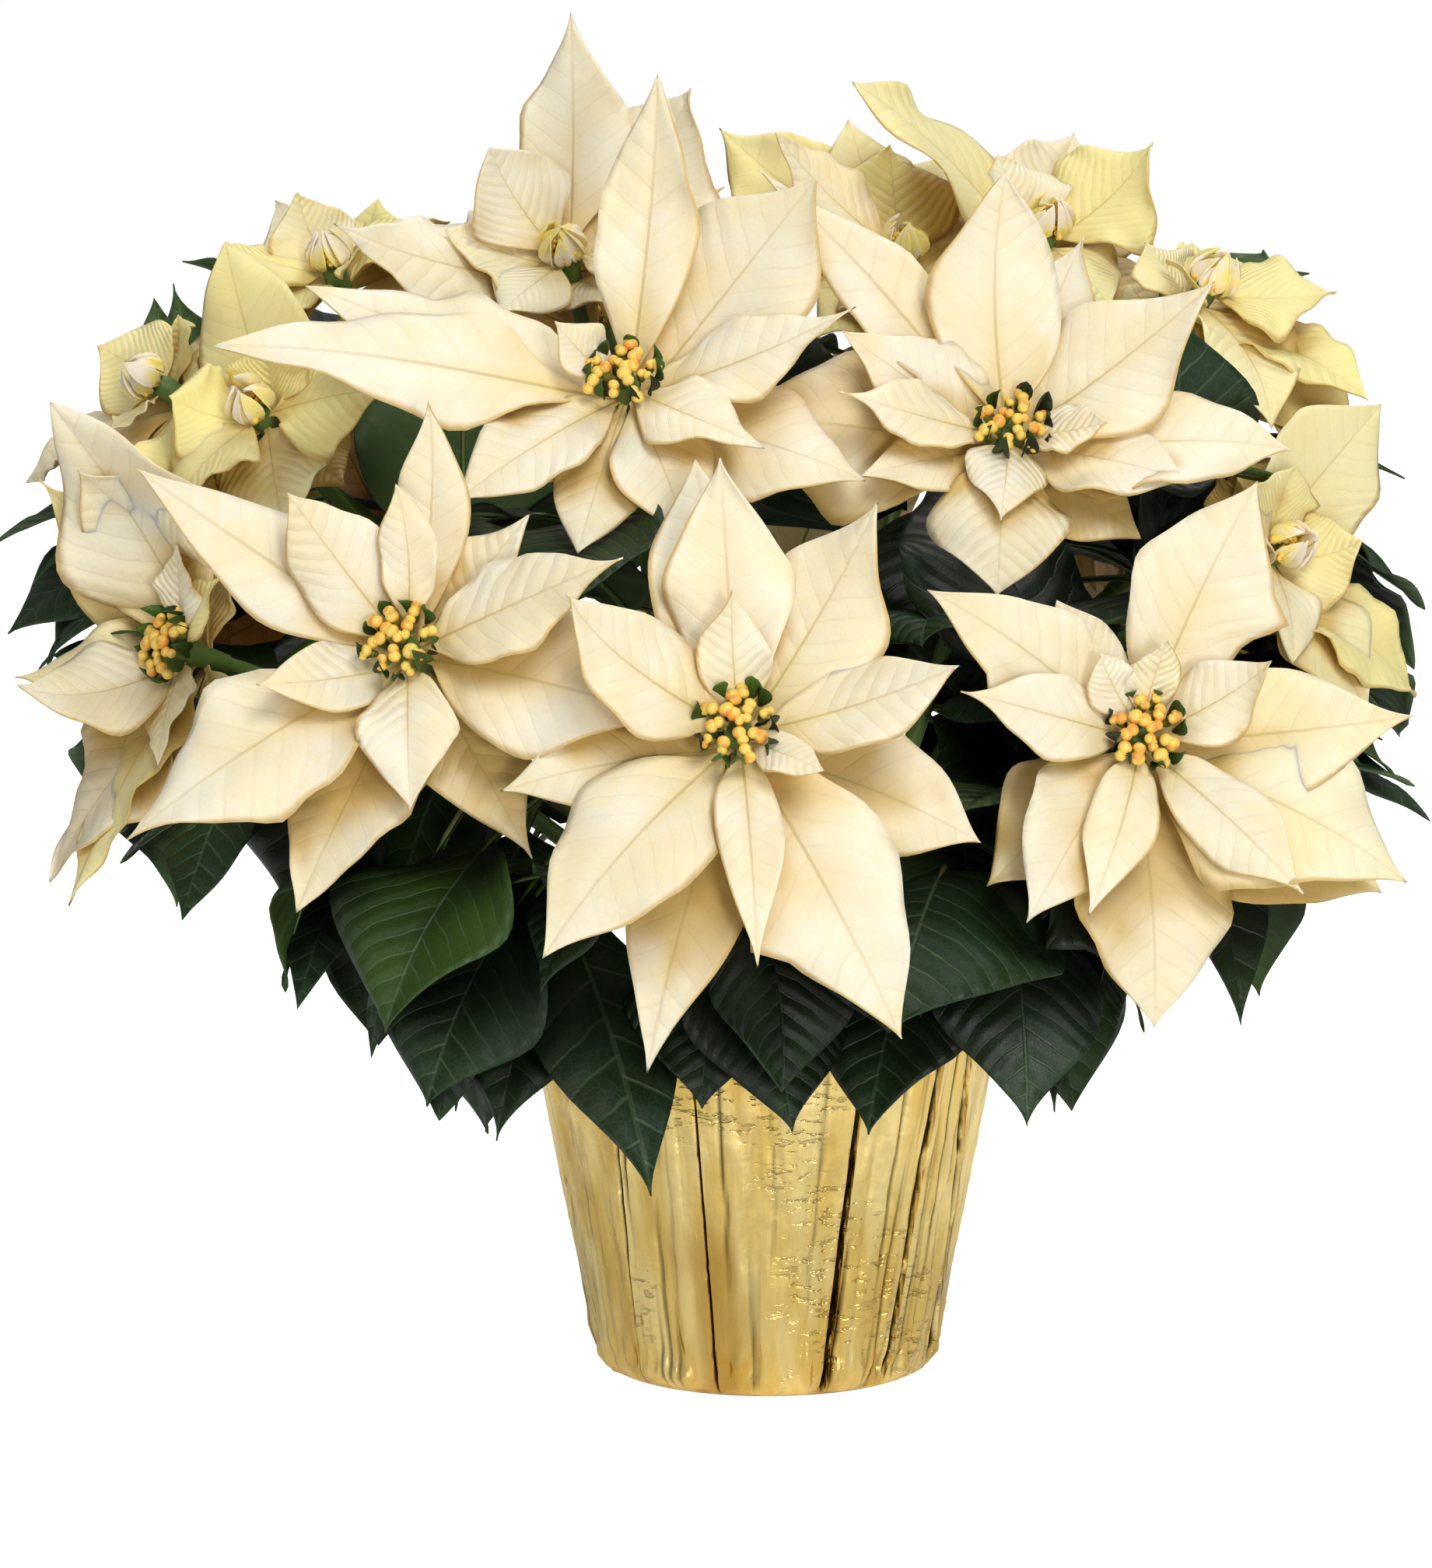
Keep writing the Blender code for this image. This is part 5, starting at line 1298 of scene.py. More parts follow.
def laid(blade, chance, tree, tints):
    """One blade: a copy of the flat pattern laid on the blade's surface, with its map and its facts."""
    made = copy_of(flat_pattern)
    along = row_shares(blade)
    across = np.array(ACROSS)
    points, normal = blade.surface(along, across)
    length = float(np.linalg.norm(blade.tip - blade.base))
    start = blade.stalk_share()
    open_share = (along - start) / (1.0 - start)
    half = blade.half_width(along)
    turns, phase = chance.uniform(*RUFFLE_TURNS), chance.uniform(0, 2 * math.pi)
    rising = np.clip(open_share * 5, 0, 1) * np.clip((1 - open_share) * 3, 0, 1)
    wave = np.sin(2 * math.pi * turns * along[:, None] + phase + 2.2 * np.sign(across)[None, :])
    lift = RUFFLE * blade.width * rising[:, None] * np.abs(across)[None, :] ** 3 * wave
    rolled = [chance.uniform(-0.6, 1.0), chance.uniform(-0.6, 1.0)]
    margin = np.clip((np.abs(across) - ROLL_FROM) / (1.0 - ROLL_FROM), 0.0, 1.0) ** 2
    margin = margin * np.where(across < 0, rolled[0], rolled[1])
    swing = 0.6 + 0.4 * np.sin(2 * math.pi * along + phase)
    lift = lift + ROLL * half[:, None] * (rising * swing)[:, None] * margin[None, :]
    if blade.node.startswith("bloom"):
        lift = lift + PROUD * max(0.0, 1.0 - blade.width / PROUD_BELOW) * rising[:, None]
    points = points + normal[:, None, :] * lift[:, :, None]
    outward = points[:, -1] - points[:, 0]
    outward = outward / np.maximum(np.linalg.norm(outward, axis=1), 1e-6)[:, None]
    waves = [np.sin(2 * math.pi * (turns * 0.55 * along + chance.random())) for _ in range(2)]
    wander = np.where(across[None, :] < 0, waves[0][:, None], waves[1][:, None]) * rising[:, None]
    aside = MARGIN_WANDER * half[:, None] * across[None, :] * np.abs(across)[None, :] * wander
    points = points + outward[:, None, :] * aside[:, :, None]
    made.data.vertices.foreach_set("co", points.reshape(-1, 3).astype(np.float32).ravel())
    flat = np.zeros((len(along), len(across), 2), np.float32)
    flat[:, :, 0] = open_share[:, None]
    flat[:, :, 1] = 0.5 + half[:, None] * across[None, :] / (length * (1.0 - start))
    corners = np.zeros(len(made.data.loops), np.int32)
    made.data.loops.foreach_get("vertex_index", corners)
    made.data.uv_layers["blade"].data.foreach_set("uv", flat.reshape(-1, 2)[corners].ravel())
    facts = np.zeros((len(along), len(across), 3), np.float32)
    # The lower edge of each blade reaches the painted shade of the rim; the upper edge is held just under it
    lower_side = across < 0 if points[:, 0, 2].mean() < points[:, -1, 2].mean() else across > 0
    facts[:, :, 0] = np.abs(across)[None, :] * np.where(lower_side, 1.0, UPPER_RIM)[None, :]
    facts[:, :, 1] = np.clip(chance.uniform(*tints), 0.0, 1.0)
    facts[:, :, 2] = covered_share(points, tree)
    made.data.attributes["blade_facts"].data.foreach_set("vector", facts.ravel())
    return made


print("rows along a blade:", STALK_ROWS + OPEN_ROWS, "of", len(ACROSS), "points")

# %% Sheets with a thickness
BLADE_THICKNESS = 0.0006
MERGE = 0.00002


def thin_sheets(blades, seed, tree, tints, finishes):
    """The blades of one piece: laid, joined, closed at their tips and given their thickness."""
    chance = random.Random(seed)
    made = dressed(joined([laid(blade, chance, tree, tints) for blade in blades]), finishes)
    select_only(made)
    bpy.ops.object.mode_set(mode="EDIT")
    bpy.ops.mesh.select_all(action="SELECT")
    bpy.ops.mesh.remove_doubles(threshold=MERGE)
    bpy.ops.object.mode_set(mode="OBJECT")
    wall = made.modifiers.new("thickness", "SOLIDIFY")
    wall.thickness = BLADE_THICKNESS
    wall.offset = 0.0
    wall.material_offset = 1
    bpy.ops.object.modifier_apply(modifier="thickness")
    return made


print("thickness of a sheet in mm:", BLADE_THICKNESS / MM)

# %% [markdown]
# ## Stems
#
# Trunks, branches and leaf stalks are round and taper, so each is a curve with a bevel, and the radius
# is set at every point. One curve object holds all the stems of a plant. It is made a mesh at the end.

# %% Stems as tapered curves
STEM_POINTS = 9
STEM_BEVEL = 3
HUB_STEPS = (0.0, 0.5, 0.9, 1.0)
HUB_SWELL = np.array([0.72, 0.85, 1.0, 0.8])
STALK_POINTS = 6
RIB_POINTS = 9
RIB_REACH = 0.92
RIB_SUNK = 0.8
STALK_RADIUS = 0.00125
RIB_END_RADIUS = 0.00025


def curve_object(name, resolution):
    bpy.ops.curve.primitive_bezier_curve_add()
    made = bpy.context.object
    made.name = name
    made.data.splines.clear()
    made.data.dimensions = "3D"
    made.data.bevel_depth = 1.0
    made.data.bevel_resolution = resolution
    made.data.use_fill_caps = True
    return made


def add_stem(curve, points, radii):
    spline = curve.data.splines.new("POLY")
    spline.points.add(len(points) - 1)
    for point, place, radius in zip(spline.points, points, radii):
        point.co = (*place, 1.0)
        point.radius = float(radius)


def branch_line(bloom):
    """Points and radii along a branch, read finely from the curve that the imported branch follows."""
    places, ahead = bloom.branch()
    shares = np.linspace(0.0, 1.0, STEM_POINTS)
    smooth, _ = bezier(bloom.bend(), shares)
    points = np.vstack([smooth, places[-1]])
    along = np.append(shares * BRANCH_SHARES[-2], 1.0)
    return points, np.interp(along, [0, 1], [BRANCH_RADIUS, BRANCH_TIP_RADIUS])


def rib_line(blade):
    """Points and radii of a leaf's stalk, which runs on under the leaf as its midrib."""
    start = blade.stalk_share()
    stalk, rib = np.linspace(0.0, start, STALK_POINTS), np.linspace(start, RIB_REACH, RIB_POINTS)
    shares = np.concatenate([stalk, rib[1:]])
    middle, normal = blade.surface(shares, (0.0,))
    radii = np.interp(shares, [0.0, start, RIB_REACH], [STALK_RADIUS, STALK_RADIUS, RIB_END_RADIUS])
    sunk = np.interp(shares, [0.0, start, start + 0.05, 1.0], [0.0, 0.0, RIB_SUNK, RIB_SUNK])
    return middle[:, 0, :] - normal * (sunk * radii)[:, None], radii


def as_mesh(made):
    select_only(made)
    bpy.ops.object.convert(target="MESH")
    made = bpy.context.object
    bpy.ops.object.mode_set(mode="EDIT")
    bpy.ops.mesh.select_all(action="SELECT")
    bpy.ops.mesh.remove_doubles(threshold=MERGE)
    bpy.ops.mesh.normals_make_consistent(inside=False)
    bpy.ops.object.mode_set(mode="OBJECT")
    bpy.ops.object.shade_smooth_by_angle(angle=math.radians(50))
    return made


print("points along a branch:", STEM_POINTS + 1, "and along a stalk and rib:", STALK_POINTS + RIB_POINTS - 1)

# %% [markdown]
# ## The true flowers
#
# Each bloom has a button of small green cups. A cup carries two yellow lips of nectar and two stamens,
# and small dark leaflets stand round the button. In a young bloom they are small cream bracts that still
# close over it. One cup, one bead, one stamen and one leaflet are modelled and copied in the spiral that
# most flower heads grow by.

# %% One cup
CUP_SIZE = (0.0017, 0.0017, 0.0036)
CUP_RIM = 0.80

bpy.ops.mesh.primitive_uv_sphere_add(segments=10, ring_count=8, radius=1.0)
cup = bpy.context.object
cup.scale = CUP_SIZE
bpy.ops.object.transform_apply(location=False, rotation=False, scale=True)
bpy.ops.object.mode_set(mode="EDIT")
bpy.ops.mesh.select_all(action="DESELECT")
edit = bmesh.from_edit_mesh(cup.data)
for face in edit.faces:
    face.select_set(face.calc_center_median().z > CUP_SIZE[2] * CUP_RIM)
bmesh.update_edit_mesh(cup.data)
bpy.ops.mesh.inset(thickness=0.0004, depth=-0.0006)
bpy.ops.object.mode_set(mode="OBJECT")
bpy.ops.object.shade_smooth()
print("points in a cup:", len(cup.data.vertices))

# %% One bead and one stamen
BEAD_SIZE = (0.0024, 0.0022, 0.0021)
STAMEN_SIZE = 0.0011

bpy.ops.mesh.primitive_ico_sphere_add(subdivisions=2, radius=1.0)
bead = bpy.context.object
bead.scale = BEAD_SIZE
bpy.ops.object.transform_apply(location=False, rotation=False, scale=True)
bpy.ops.object.shade_smooth()

bpy.ops.mesh.primitive_ico_sphere_add(subdivisions=1, radius=STAMEN_SIZE)
stamen = bpy.context.object
bpy.ops.object.shade_smooth()
print("points in a bead:", len(bead.data.vertices), "and in a stamen:", len(stamen.data.vertices))

# %% One leaflet
LEAFLET_SIZE = (0.0028, 0.0100)

bpy.ops.mesh.primitive_grid_add(x_subdivisions=2, y_subdivisions=5, size=2.0)
leaflet = bpy.context.object
bpy.ops.object.mode_set(mode="EDIT")
edit = bmesh.from_edit_mesh(leaflet.data)
for vertex in edit.verts:
    up = (vertex.co.y + 1.0) / 2
    wide = math.sin(math.pi * min(0.94 * up + 0.06, 1.0)) ** 0.8
    bend = 0.35 * up * up - 0.25 * abs(vertex.co.x) * wide
    vertex.co = (vertex.co.x * LEAFLET_SIZE[0] * wide, -bend * LEAFLET_SIZE[1], up * LEAFLET_SIZE[1])
bmesh.update_edit_mesh(leaflet.data)
bpy.ops.mesh.select_all(action="SELECT")
bpy.ops.mesh.remove_doubles(threshold=MERGE)
bpy.ops.object.mode_set(mode="OBJECT")
wall = leaflet.modifiers.new("thickness", "SOLIDIFY")
wall.thickness = 0.0003
select_only(leaflet)
bpy.ops.object.modifier_apply(modifier="thickness")
bpy.ops.object.shade_smooth()
flower_patterns = (cup, bead, stamen, leaflet)
print("points in a leaflet:", len(leaflet.data.vertices))

# %% A button of flowers
CUP_COUNT = 13
CUP_LEAN = 0.65
BUTTON_RADIUS = 0.0112
BUTTON_HEIGHT = 0.0052
BUTTON_DOME = 0.0022
LEAFLET_COUNT = 9
OPEN_BLOOMS = ("front", "front_left", "front_right", "upper_left", "upper_right", "far_left")
CLOSED_SHARE = 0.58
YOUNG_BRACT_SHARE = 2.1
SPIRAL_TURN = math.radians(137.5)


def set_at(pattern, matrix):
    made = copy_of(pattern)
    made.data.transform(matrix)
    return made


def flower_cluster(bloom):
    """A button of cups with their beads, ringed by leaflets, seated on the bloom's hub."""
    chance = random.Random("cluster of " + bloom.name)
    seat = along_axis(bloom.hub + bloom.axis * SEAT_GAP, bloom.axis)
    is_open = bloom.name in OPEN_BLOOMS
    if not is_open:
        seat = seat @ Matrix.Scale(CLOSED_SHARE, 4)
    greens, golds, leaflets = [], [], []
    for k in range(CUP_COUNT):
        out = BUTTON_RADIUS * math.sqrt((k + 0.25) / CUP_COUNT)
        turn = SPIRAL_TURN * k + chance.uniform(-0.2, 0.2)
        high = BUTTON_HEIGHT - BUTTON_DOME * (out / BUTTON_RADIUS) ** 2
        high += chance.uniform(-0.0008, 0.0008)
        lean = CUP_LEAN * out / BUTTON_RADIUS
        size = chance.uniform(0.85, 1.15)
        stand = Matrix.Rotation(turn, 4, "Z") @ Matrix.Translation((out, 0, high))
        stand = seat @ stand @ Matrix.Rotation(lean, 4, "Y") @ Matrix.Scale(size, 4)
        greens.append(set_at(cup, stand))
        for side in (1.0, -0.9):
            lip = Matrix.Translation((CUP_SIZE[0] * 0.85 * side, 0.0004 * side, CUP_SIZE[2] * CUP_RIM))
            swollen = Matrix.Scale(chance.uniform(0.75, 1.1), 4)
            golds.append(set_at(bead, stand @ lip @ Matrix.Rotation(math.pi / 2, 4, "Z") @ swollen))
        for stamen_turn in range(2):
            angle = stamen_turn * 2.1 + chance.uniform(-0.4, 0.4)
            reach = CUP_SIZE[0] * 0.45
            top = (reach * math.cos(angle), reach * math.sin(angle), CUP_SIZE[2] * 1.02)
            golds.append(set_at(stamen, stand @ Matrix.Translation(top)))
    for k in range(LEAFLET_COUNT):
        turn = 2 * math.pi * (k + chance.uniform(-0.3, 0.3)) / LEAFLET_COUNT
        stand = Matrix.Rotation(turn, 4, "Z") @ Matrix.Translation((BUTTON_RADIUS * 0.9, 0, 0.001))
        lean = chance.uniform(0.3, 0.75) if is_open else chance.uniform(-0.15, 0.35)
        stand = seat @ stand @ Matrix.Rotation(lean, 4, "Y")
        size = chance.uniform(0.8, 1.25) * (1.0 if is_open else YOUNG_BRACT_SHARE)
        turned_out = Matrix.Rotation(-math.pi / 2, 4, "Z") @ Matrix.Scale(size, 4)
        leaflets.append(set_at(leaflet, stand @ turned_out))
    for worn, parts in enumerate((greens, golds, leaflets)):
        for part in parts:
            part.data.polygons.foreach_set("material_index", [worn] * len(part.data.polygons))
    return joined([*greens, *golds, *leaflets])


print("cups on a button:", CUP_COUNT, "and leaflets round it:", LEAFLET_COUNT)

# %% [markdown]
# ## More leaves and bracts deep inside
#
# The real plant is so full of leaves that no daylight shows through it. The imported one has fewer, so
# more are added here: some by the same rules, low on the branches, and some that a search found. It
# tried many places and kept those that close the most gaps that the camera sees.

# %% More small leaves and bracts that fill the plant
# More leaves by rule, at these shares of each branch
MORE_LEAF_SHARES = {
    "back": (0.42, 0.66, 0.90), "side": (0.34, 0.58, 0.84), "front": (0.40, 0.60, 0.80),
}

# More bracts, found by the search: bloom, then tip, width and toothed edge as above
MORE_BRACTS = (
    ("right_low", (40, 60, -27, 50, 0)), ("crown_right", (-92, 43, 27, 64, 0)),
    ("upper_left", (64, 80, -13, 66, 0)), ("right_high", (61, -35, 25, 44, 0)),
    ("front_right", (90, -46, 22, 64, 0)), ("far_left", (-54, -84, -7, 54, 0)),
    ("far_left", (-55, 63, -33, 51, 0)), ("left_mid", (-18, 66, -31, 47, 0)),
    ("crown_mid", (-20, 56, -40, 40, 0)), ("far_left", (-39, 96, -16, 66, 0)),
)

# More leaves, found by the search: branch, share of the branch, tip in mm and width in mm
MORE_LEAVES = (
    ("left_high", 0.78, (-221, 86, 415), 63), ("right_high", 0.31, (104, -47, 98), 83),
    ("left_mid", 0.53, (-111, 44, 398), 81), ("left_high", 0.82, (-272, 23, 252), 74),
    ("left_mid", 0.34, (-111, -86, 110), 85), ("left_high", 0.89, (-230, 84, 401), 42),
    ("front_left", 0.8, (-172, -75, 151), 72), ("front_right", 0.89, (59, -5, 329), 88),
    ("right_low", 0.84, (223, 50, 185), 74), ("left_high", 0.76, (-273, 55, 257), 64),
    ("right_low", 0.5, (232, -58, 223), 69), ("right_high", 0.79, (244, 78, 254), 78),
    ("right_low", 0.68, (172, -46, 387), 74), ("far_left", 0.91, (-224, 48, 165), 70),
    ("left_crown", 0.74, (-233, 78, 401), 64), ("front_left", 0.39, (-117, -83, 106), 66),
)


def add_more_blades(arrangement, blooms):
    """Leaves by rule low on every branch, then the bracts and leaves that the search found."""
    by_name = {bloom.name: bloom for bloom in blooms}
    for bloom in blooms:
        chance = random.Random("more leaves of " + bloom.name)
        side = "back" if bloom.hub[1] > 0.09 else "side" if bloom.hub[1] > -0.06 else "front"
        for order, share in enumerate(MORE_LEAF_SHARES[side]):
            arrangement.place(leaf_by_rule(bloom, order, share, chance))
    for name, row in MORE_BRACTS:
        count = len(BRACTS[name])
        bract = bract_by_row(by_name[name], count, count + 1, row, random.Random(str((name, row))))
        arrangement.place(bract)
    for row in MORE_LEAVES:
        name, share, tip, width = row
        bloom, tip, chance = by_name[name], np.array(tip) * MM, random.Random(str(row))
        arrangement.place(leaf_between(bloom, share, tip, width * MM, 0, LEAF_ROWS, chance))


print("found by the search:", len(MORE_BRACTS), "bracts and", len(MORE_LEAVES), "leaves")

# %% [markdown]
# ## Growing the plant
#
# Every blade is placed first, because each has to miss the others and each is shaded by them. Then the
# bracts, the hub and the flowers of each bloom become one piece each, and so do the leaves and the stems
# of each of the three plants.

# %% Place every blade
blooms = [Bloom(index, *row) for index, row in enumerate(BLOOMS)]
arrangement = arranged(blooms)
packed_count = len(arrangement.blades)
add_more_blades(arrangement, blooms)
blades = arrangement.blades
tree = coarse_sheets(blades)
print("blades placed:", packed_count, "as packed, and", len(blades) - packed_count, "more")

# %% Make the blooms
TINT_SPREAD = 0.22

for pattern in flower_patterns:
    dressed(pattern, (cup_green, bead_gold, leaflet_green))
for bloom in blooms:
    own = [blade for blade in blades if blade.node == "bloom_" + bloom.name]
    tint = BLOOM_TINTS.get(bloom.name, 0.6)
    tints = (tint - TINT_SPREAD, tint + TINT_SPREAD)
    bracts = thin_sheets(own, "sheets of " + bloom.name, tree, tints, (bract_upper, bract_under))
    finished(bracts, "bracts_" + bloom.name)
    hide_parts("bloom_" + bloom.name)
    stalk = curve_object("stalk", STEM_BEVEL)
    foot = bloom.hub - bloom.axis * HUB_LENGTH
    line = [foot + bloom.axis * HUB_LENGTH * share for share in HUB_STEPS]
    add_stem(stalk, line, HUB_RADIUS * HUB_SWELL)
    hub = finished(dressed(as_mesh(stalk), (stem_green,)), "hub_" + bloom.name)
    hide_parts("bloom_" + bloom.name)
    cluster = flower_cluster(bloom)
    cluster.data.materials[2] = leaflet_green if bloom.name in OPEN_BLOOMS else young_bract
    finished(cluster, "flower_button_" + bloom.name)
    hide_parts("flowers_" + bloom.name)
print("blooms made:", len(blooms))

# %% Leaves and stems of the three plants
for plant, (x, y) in TRUNKS.items():
    own = [blade for blade in blades if blade.node == "plant_" + plant]
    leaves = thin_sheets(own, "leaves of plant " + plant, tree, (0.0, 1.0), (leaf_upper, leaf_under))
    finished(leaves, "leaves_" + plant)
    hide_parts("plant_" + plant)
    stems = curve_object("stems", STEM_BEVEL)
    foot = SOIL_TOP - HOLE_DEPTH + SEAT_GAP
    top = FORK_HEIGHT + 3.6 * FORK_STEP
    heights = np.linspace(foot, top, 5)
    add_stem(stems, [(x, y, z) for z in heights], [TRUNK_RADIUS] * 5)
    for bloom in blooms:
        if bloom.plant == plant:
            add_stem(stems, *branch_line(bloom))
    for blade in own:
        add_stem(stems, *rib_line(blade))
    stems = finished(dressed(as_mesh(stems), (stem_green,)), "stems_" + plant)
    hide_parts("plant_" + plant)
for pattern in (flat_pattern, *flower_patterns):
    bpy.data.objects.remove(pattern)
print("plants made:", len(TRUNKS))

# %% [markdown]
# ## The foil wrap
#
# One sheet of foil was gathered round the pot in flat panels, each diving under the lip of the next at
# a sharp fold with a ragged edge. A grid is added with many columns and rows, and each point is laid on
# the wrap: in or out by the panel's own section, by small false folds that wander down the panel, and by
# noise for flutes, wrinkles and the crushed edge at the foot. Each point also keeps how deep in a fold it
# lies, which the foil's finish darkens as painted shade.

# %% Where the foil goes
PANEL_STEPS = 40
FOIL_ROWS = 72
FOIL_FOOT_RINGS = 5
FOIL_SHEET = 0.0004

# The tuck where a panel ends: its width for a middling fold, its columns, and how ragged it is
TUCK_WIDTH = 0.0022
MIDDLE_TUCK = 1.6
TUCK_STEPS = np.array([1.0, 0.72, 0.45, 0.22, 0.08])
TUCK_BOTTOM = 0.45
RAGGED = 0.0007

# Small false folds: their number on a panel, where across it, depth, lean, width, and the depth whose
# painted shade line looks darkest
FALSE_FOLDS = 9
FALSE_PLACES = (0.04, 0.90)
FALSE_DEPTHS = (0.0001, 0.0010)
FALSE_LEAN = 0.09
FALSE_WIDTH = 0.0011
DARKEST = 0.0016

# Crumpling of the panels, and the height and reach of the crushed edge
FLUTE = 0.0010
WRINKLE = 0.0009
FOOT_CRUSH = 0.0030
CRUSH_HEIGHT = 0.009
CRUSH_REACH = 0.010


def fold_angle(fold, height):
    """Where a fold is at a height, in radians round from the front."""
    at_rim, at_foot, _ = FOIL_FOLDS[fold % len(FOIL_FOLDS)]
    share = height / FOIL_HEIGHT
    return math.radians(at_foot + (at_rim - at_foot) * share) + 2 * math.pi * (fold // len(FOIL_FOLDS))


def tuck_width(fold):
    """A deeper fold is also a wider one."""
    return TUCK_WIDTH * FOIL_FOLDS[(fold + 1) % len(FOIL_FOLDS)][2] / MIDDLE_TUCK


def panel_shares(arc, width):
    """Even columns across a panel, and close ones where it dives under the next panel's lip."""
    tuck = width / arc
    body = np.linspace(0.0, 1.0 - tuck, PANEL_STEPS - len(TUCK_STEPS), endpoint=False)
    return np.concatenate([body, 1.0 - tuck * TUCK_STEPS])


def ragged_edge(fold, height):
    """How far a fold's edge strays at a height, from about -1 to 1."""
    slow = noise.noise(Vector((fold * 7.0, 0.0, height * 75)))
    return slow + 0.6 * noise.noise(Vector((fold * 7.0, 3.0, height * 210)))


def false_fold(drawn, share, height, arc):
    """How deep a small false fold cuts at a point, and how dark its painted shade line is there."""
    place, deep, from_up, lean = drawn
    up = height / FOIL_HEIGHT
    wander = 0.03 * noise.noise(Vector((place * 40, 0.0, height * 45)))
    near = abs(share - place - lean * (up - 0.5) - wander) * arc / FALSE_WIDTH
    cut = deep * math.exp(-near * near) * min(1.0, abs(up - from_up) * 3)
    return cut, cut / DARKEST


def crumpled(angle, height):
    """Flutes, wrinkles and the crushed edge at the foot, in metres out from the wall."""
    around = Vector((math.cos(angle), math.sin(angle), 0.0))
    flute = noise.noise(around * 11 + Vector((0, 0, height * 9)))
    flute += 0.55 * noise.noise(around * 26 + Vector((0, 0, height * 16)))
    wrinkle = abs(noise.noise(around * 7 + Vector((0, 0, height * 42)))) ** 0.6
    crush = noise.noise(around * 15 + Vector((0, 0, height * 85)))
    crush *= math.exp(-((height - CRUSH_HEIGHT) / CRUSH_REACH) ** 2)
    return FLUTE * flute - WRINKLE * wrinkle + FOOT_CRUSH * crush


def foil_profile():
    """Heights, radii and how strongly pleated each ring is, from the centre of the foot to the rim."""
    foot = [(0.0, FOIL_FOOT_RADIUS * k / FOIL_FOOT_RINGS, 0.0) for k in range(1, FOIL_FOOT_RINGS + 1)]
    corner = [(0.0016, FOIL_BASE_RADIUS - 0.0018, 0.5), (0.0036, FOIL_BASE_RADIUS - 0.0004, 0.7)]
    heights = np.linspace(FOIL_CORNER_HEIGHT, FOIL_HEIGHT, FOIL_ROWS)
    wall = [(float(z), float(foil_radius(z)), 1.0) for z in heights]
    return foot + corner + wall


print("columns of the foil:", len(FOIL_FOLDS) * PANEL_STEPS, "and rings:", len(foil_profile()))

# %% Foil
foil_rings = foil_profile()
columns = len(FOIL_FOLDS) * PANEL_STEPS
bpy.ops.mesh.primitive_grid_add(x_subdivisions=columns, y_subdivisions=len(foil_rings) - 1, size=1.0)
foil = bpy.context.object
chance = random.Random("small folds of the foil")

# Place across the panel, depth, the height where it fades, and lean of each false fold
false_folds = [
    [
        (
            chance.uniform(*FALSE_PLACES), chance.uniform(*FALSE_DEPTHS),
            chance.random(), chance.gauss(0.0, FALSE_LEAN),
        )
        for _ in range(FALSE_FOLDS)
    ]
    for _ in FOIL_FOLDS
]
folds = np.zeros((len(foil_rings), columns + 1))
points = np.zeros((len(foil_rings), columns + 1, 3))
for row, (height, radius, depth) in enumerate(foil_rings):
    for fold in range(len(FOIL_FOLDS)):
        start, end = fold_angle(fold, height), fold_angle(fold + 1, height)
        arc, width, ragged = (end - start) * radius, tuck_width(fold), ragged_edge(fold, height)
        tuck = FOIL_FOLDS[(fold + 1) % len(FOIL_FOLDS)][2] * MM
        for step, share in enumerate(panel_shares(arc, width)):
            angle = start + (end - start) * share
            left = ((1.0 - share) * arc + RAGGED * ragged) / width
            fall = max(0.0, 1.0 - abs(left - TUCK_BOTTOM) / (0.5 + 0.22 * ragged)) ** 0.6
            cuts, lines = zip(*(false_fold(drawn, share, height, arc) for drawn in false_folds[fold]))
            out = PANEL_LIP * (1.0 - share) - tuck * fall - sum(cuts) + crumpled(angle, height)
            far = radius + out * depth
            column = fold * PANEL_STEPS + step
            # How dark the painted shade is here: deep in the tuck and along the false folds
            folds[row, column] = max(fall, *lines) * depth
            points[row, column] = (far * math.sin(angle), -far * math.cos(angle), height)
    points[row, columns] = points[row, 0]
    folds[row, columns] = folds[row, 0]
foil.data.vertices.foreach_set("co", points.reshape(-1, 3).astype(np.float32).ravel())
foil.data.attributes.new("fold_depth", "FLOAT", "POINT")
foil.data.attributes["fold_depth"].data.foreach_set("value", folds.ravel().astype(np.float32))
bpy.ops.object.mode_set(mode="EDIT")
bpy.ops.mesh.select_all(action="SELECT")
bpy.ops.mesh.remove_doubles(threshold=MERGE)
bpy.ops.mesh.select_all(action="DESELECT")
edit = bmesh.from_edit_mesh(foil.data)
for edge in edit.edges:
    edge.select_set(edge.is_boundary and all(v.co.z < MERGE for v in edge.verts))
bmesh.update_edit_mesh(foil.data)
bpy.ops.mesh.edge_face_add()
bpy.ops.mesh.select_all(action="SELECT")
bpy.ops.mesh.normals_make_consistent(inside=False)
bpy.ops.object.mode_set(mode="OBJECT")
wall = foil.modifiers.new("thickness", "SOLIDIFY")
wall.thickness = FOIL_SHEET
wall.offset = -1.0
bpy.ops.object.modifier_apply(modifier="thickness")
bpy.ops.object.shade_smooth_by_angle(angle=math.radians(60))
finished(dressed(foil, (foil_gold,)), "foil")
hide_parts("foil_wrap")
print("foil triangles:", sum(len(p.vertices) - 2 for p in foil.data.polygons))

# %% [markdown]
# ## The nursery pot
#
# A thin tapered wall with a stepped lip, turned about its own axis: the outline is drawn as a chain of
# points and spun all the way round.

# %% Pot
POT_STEPS = 96


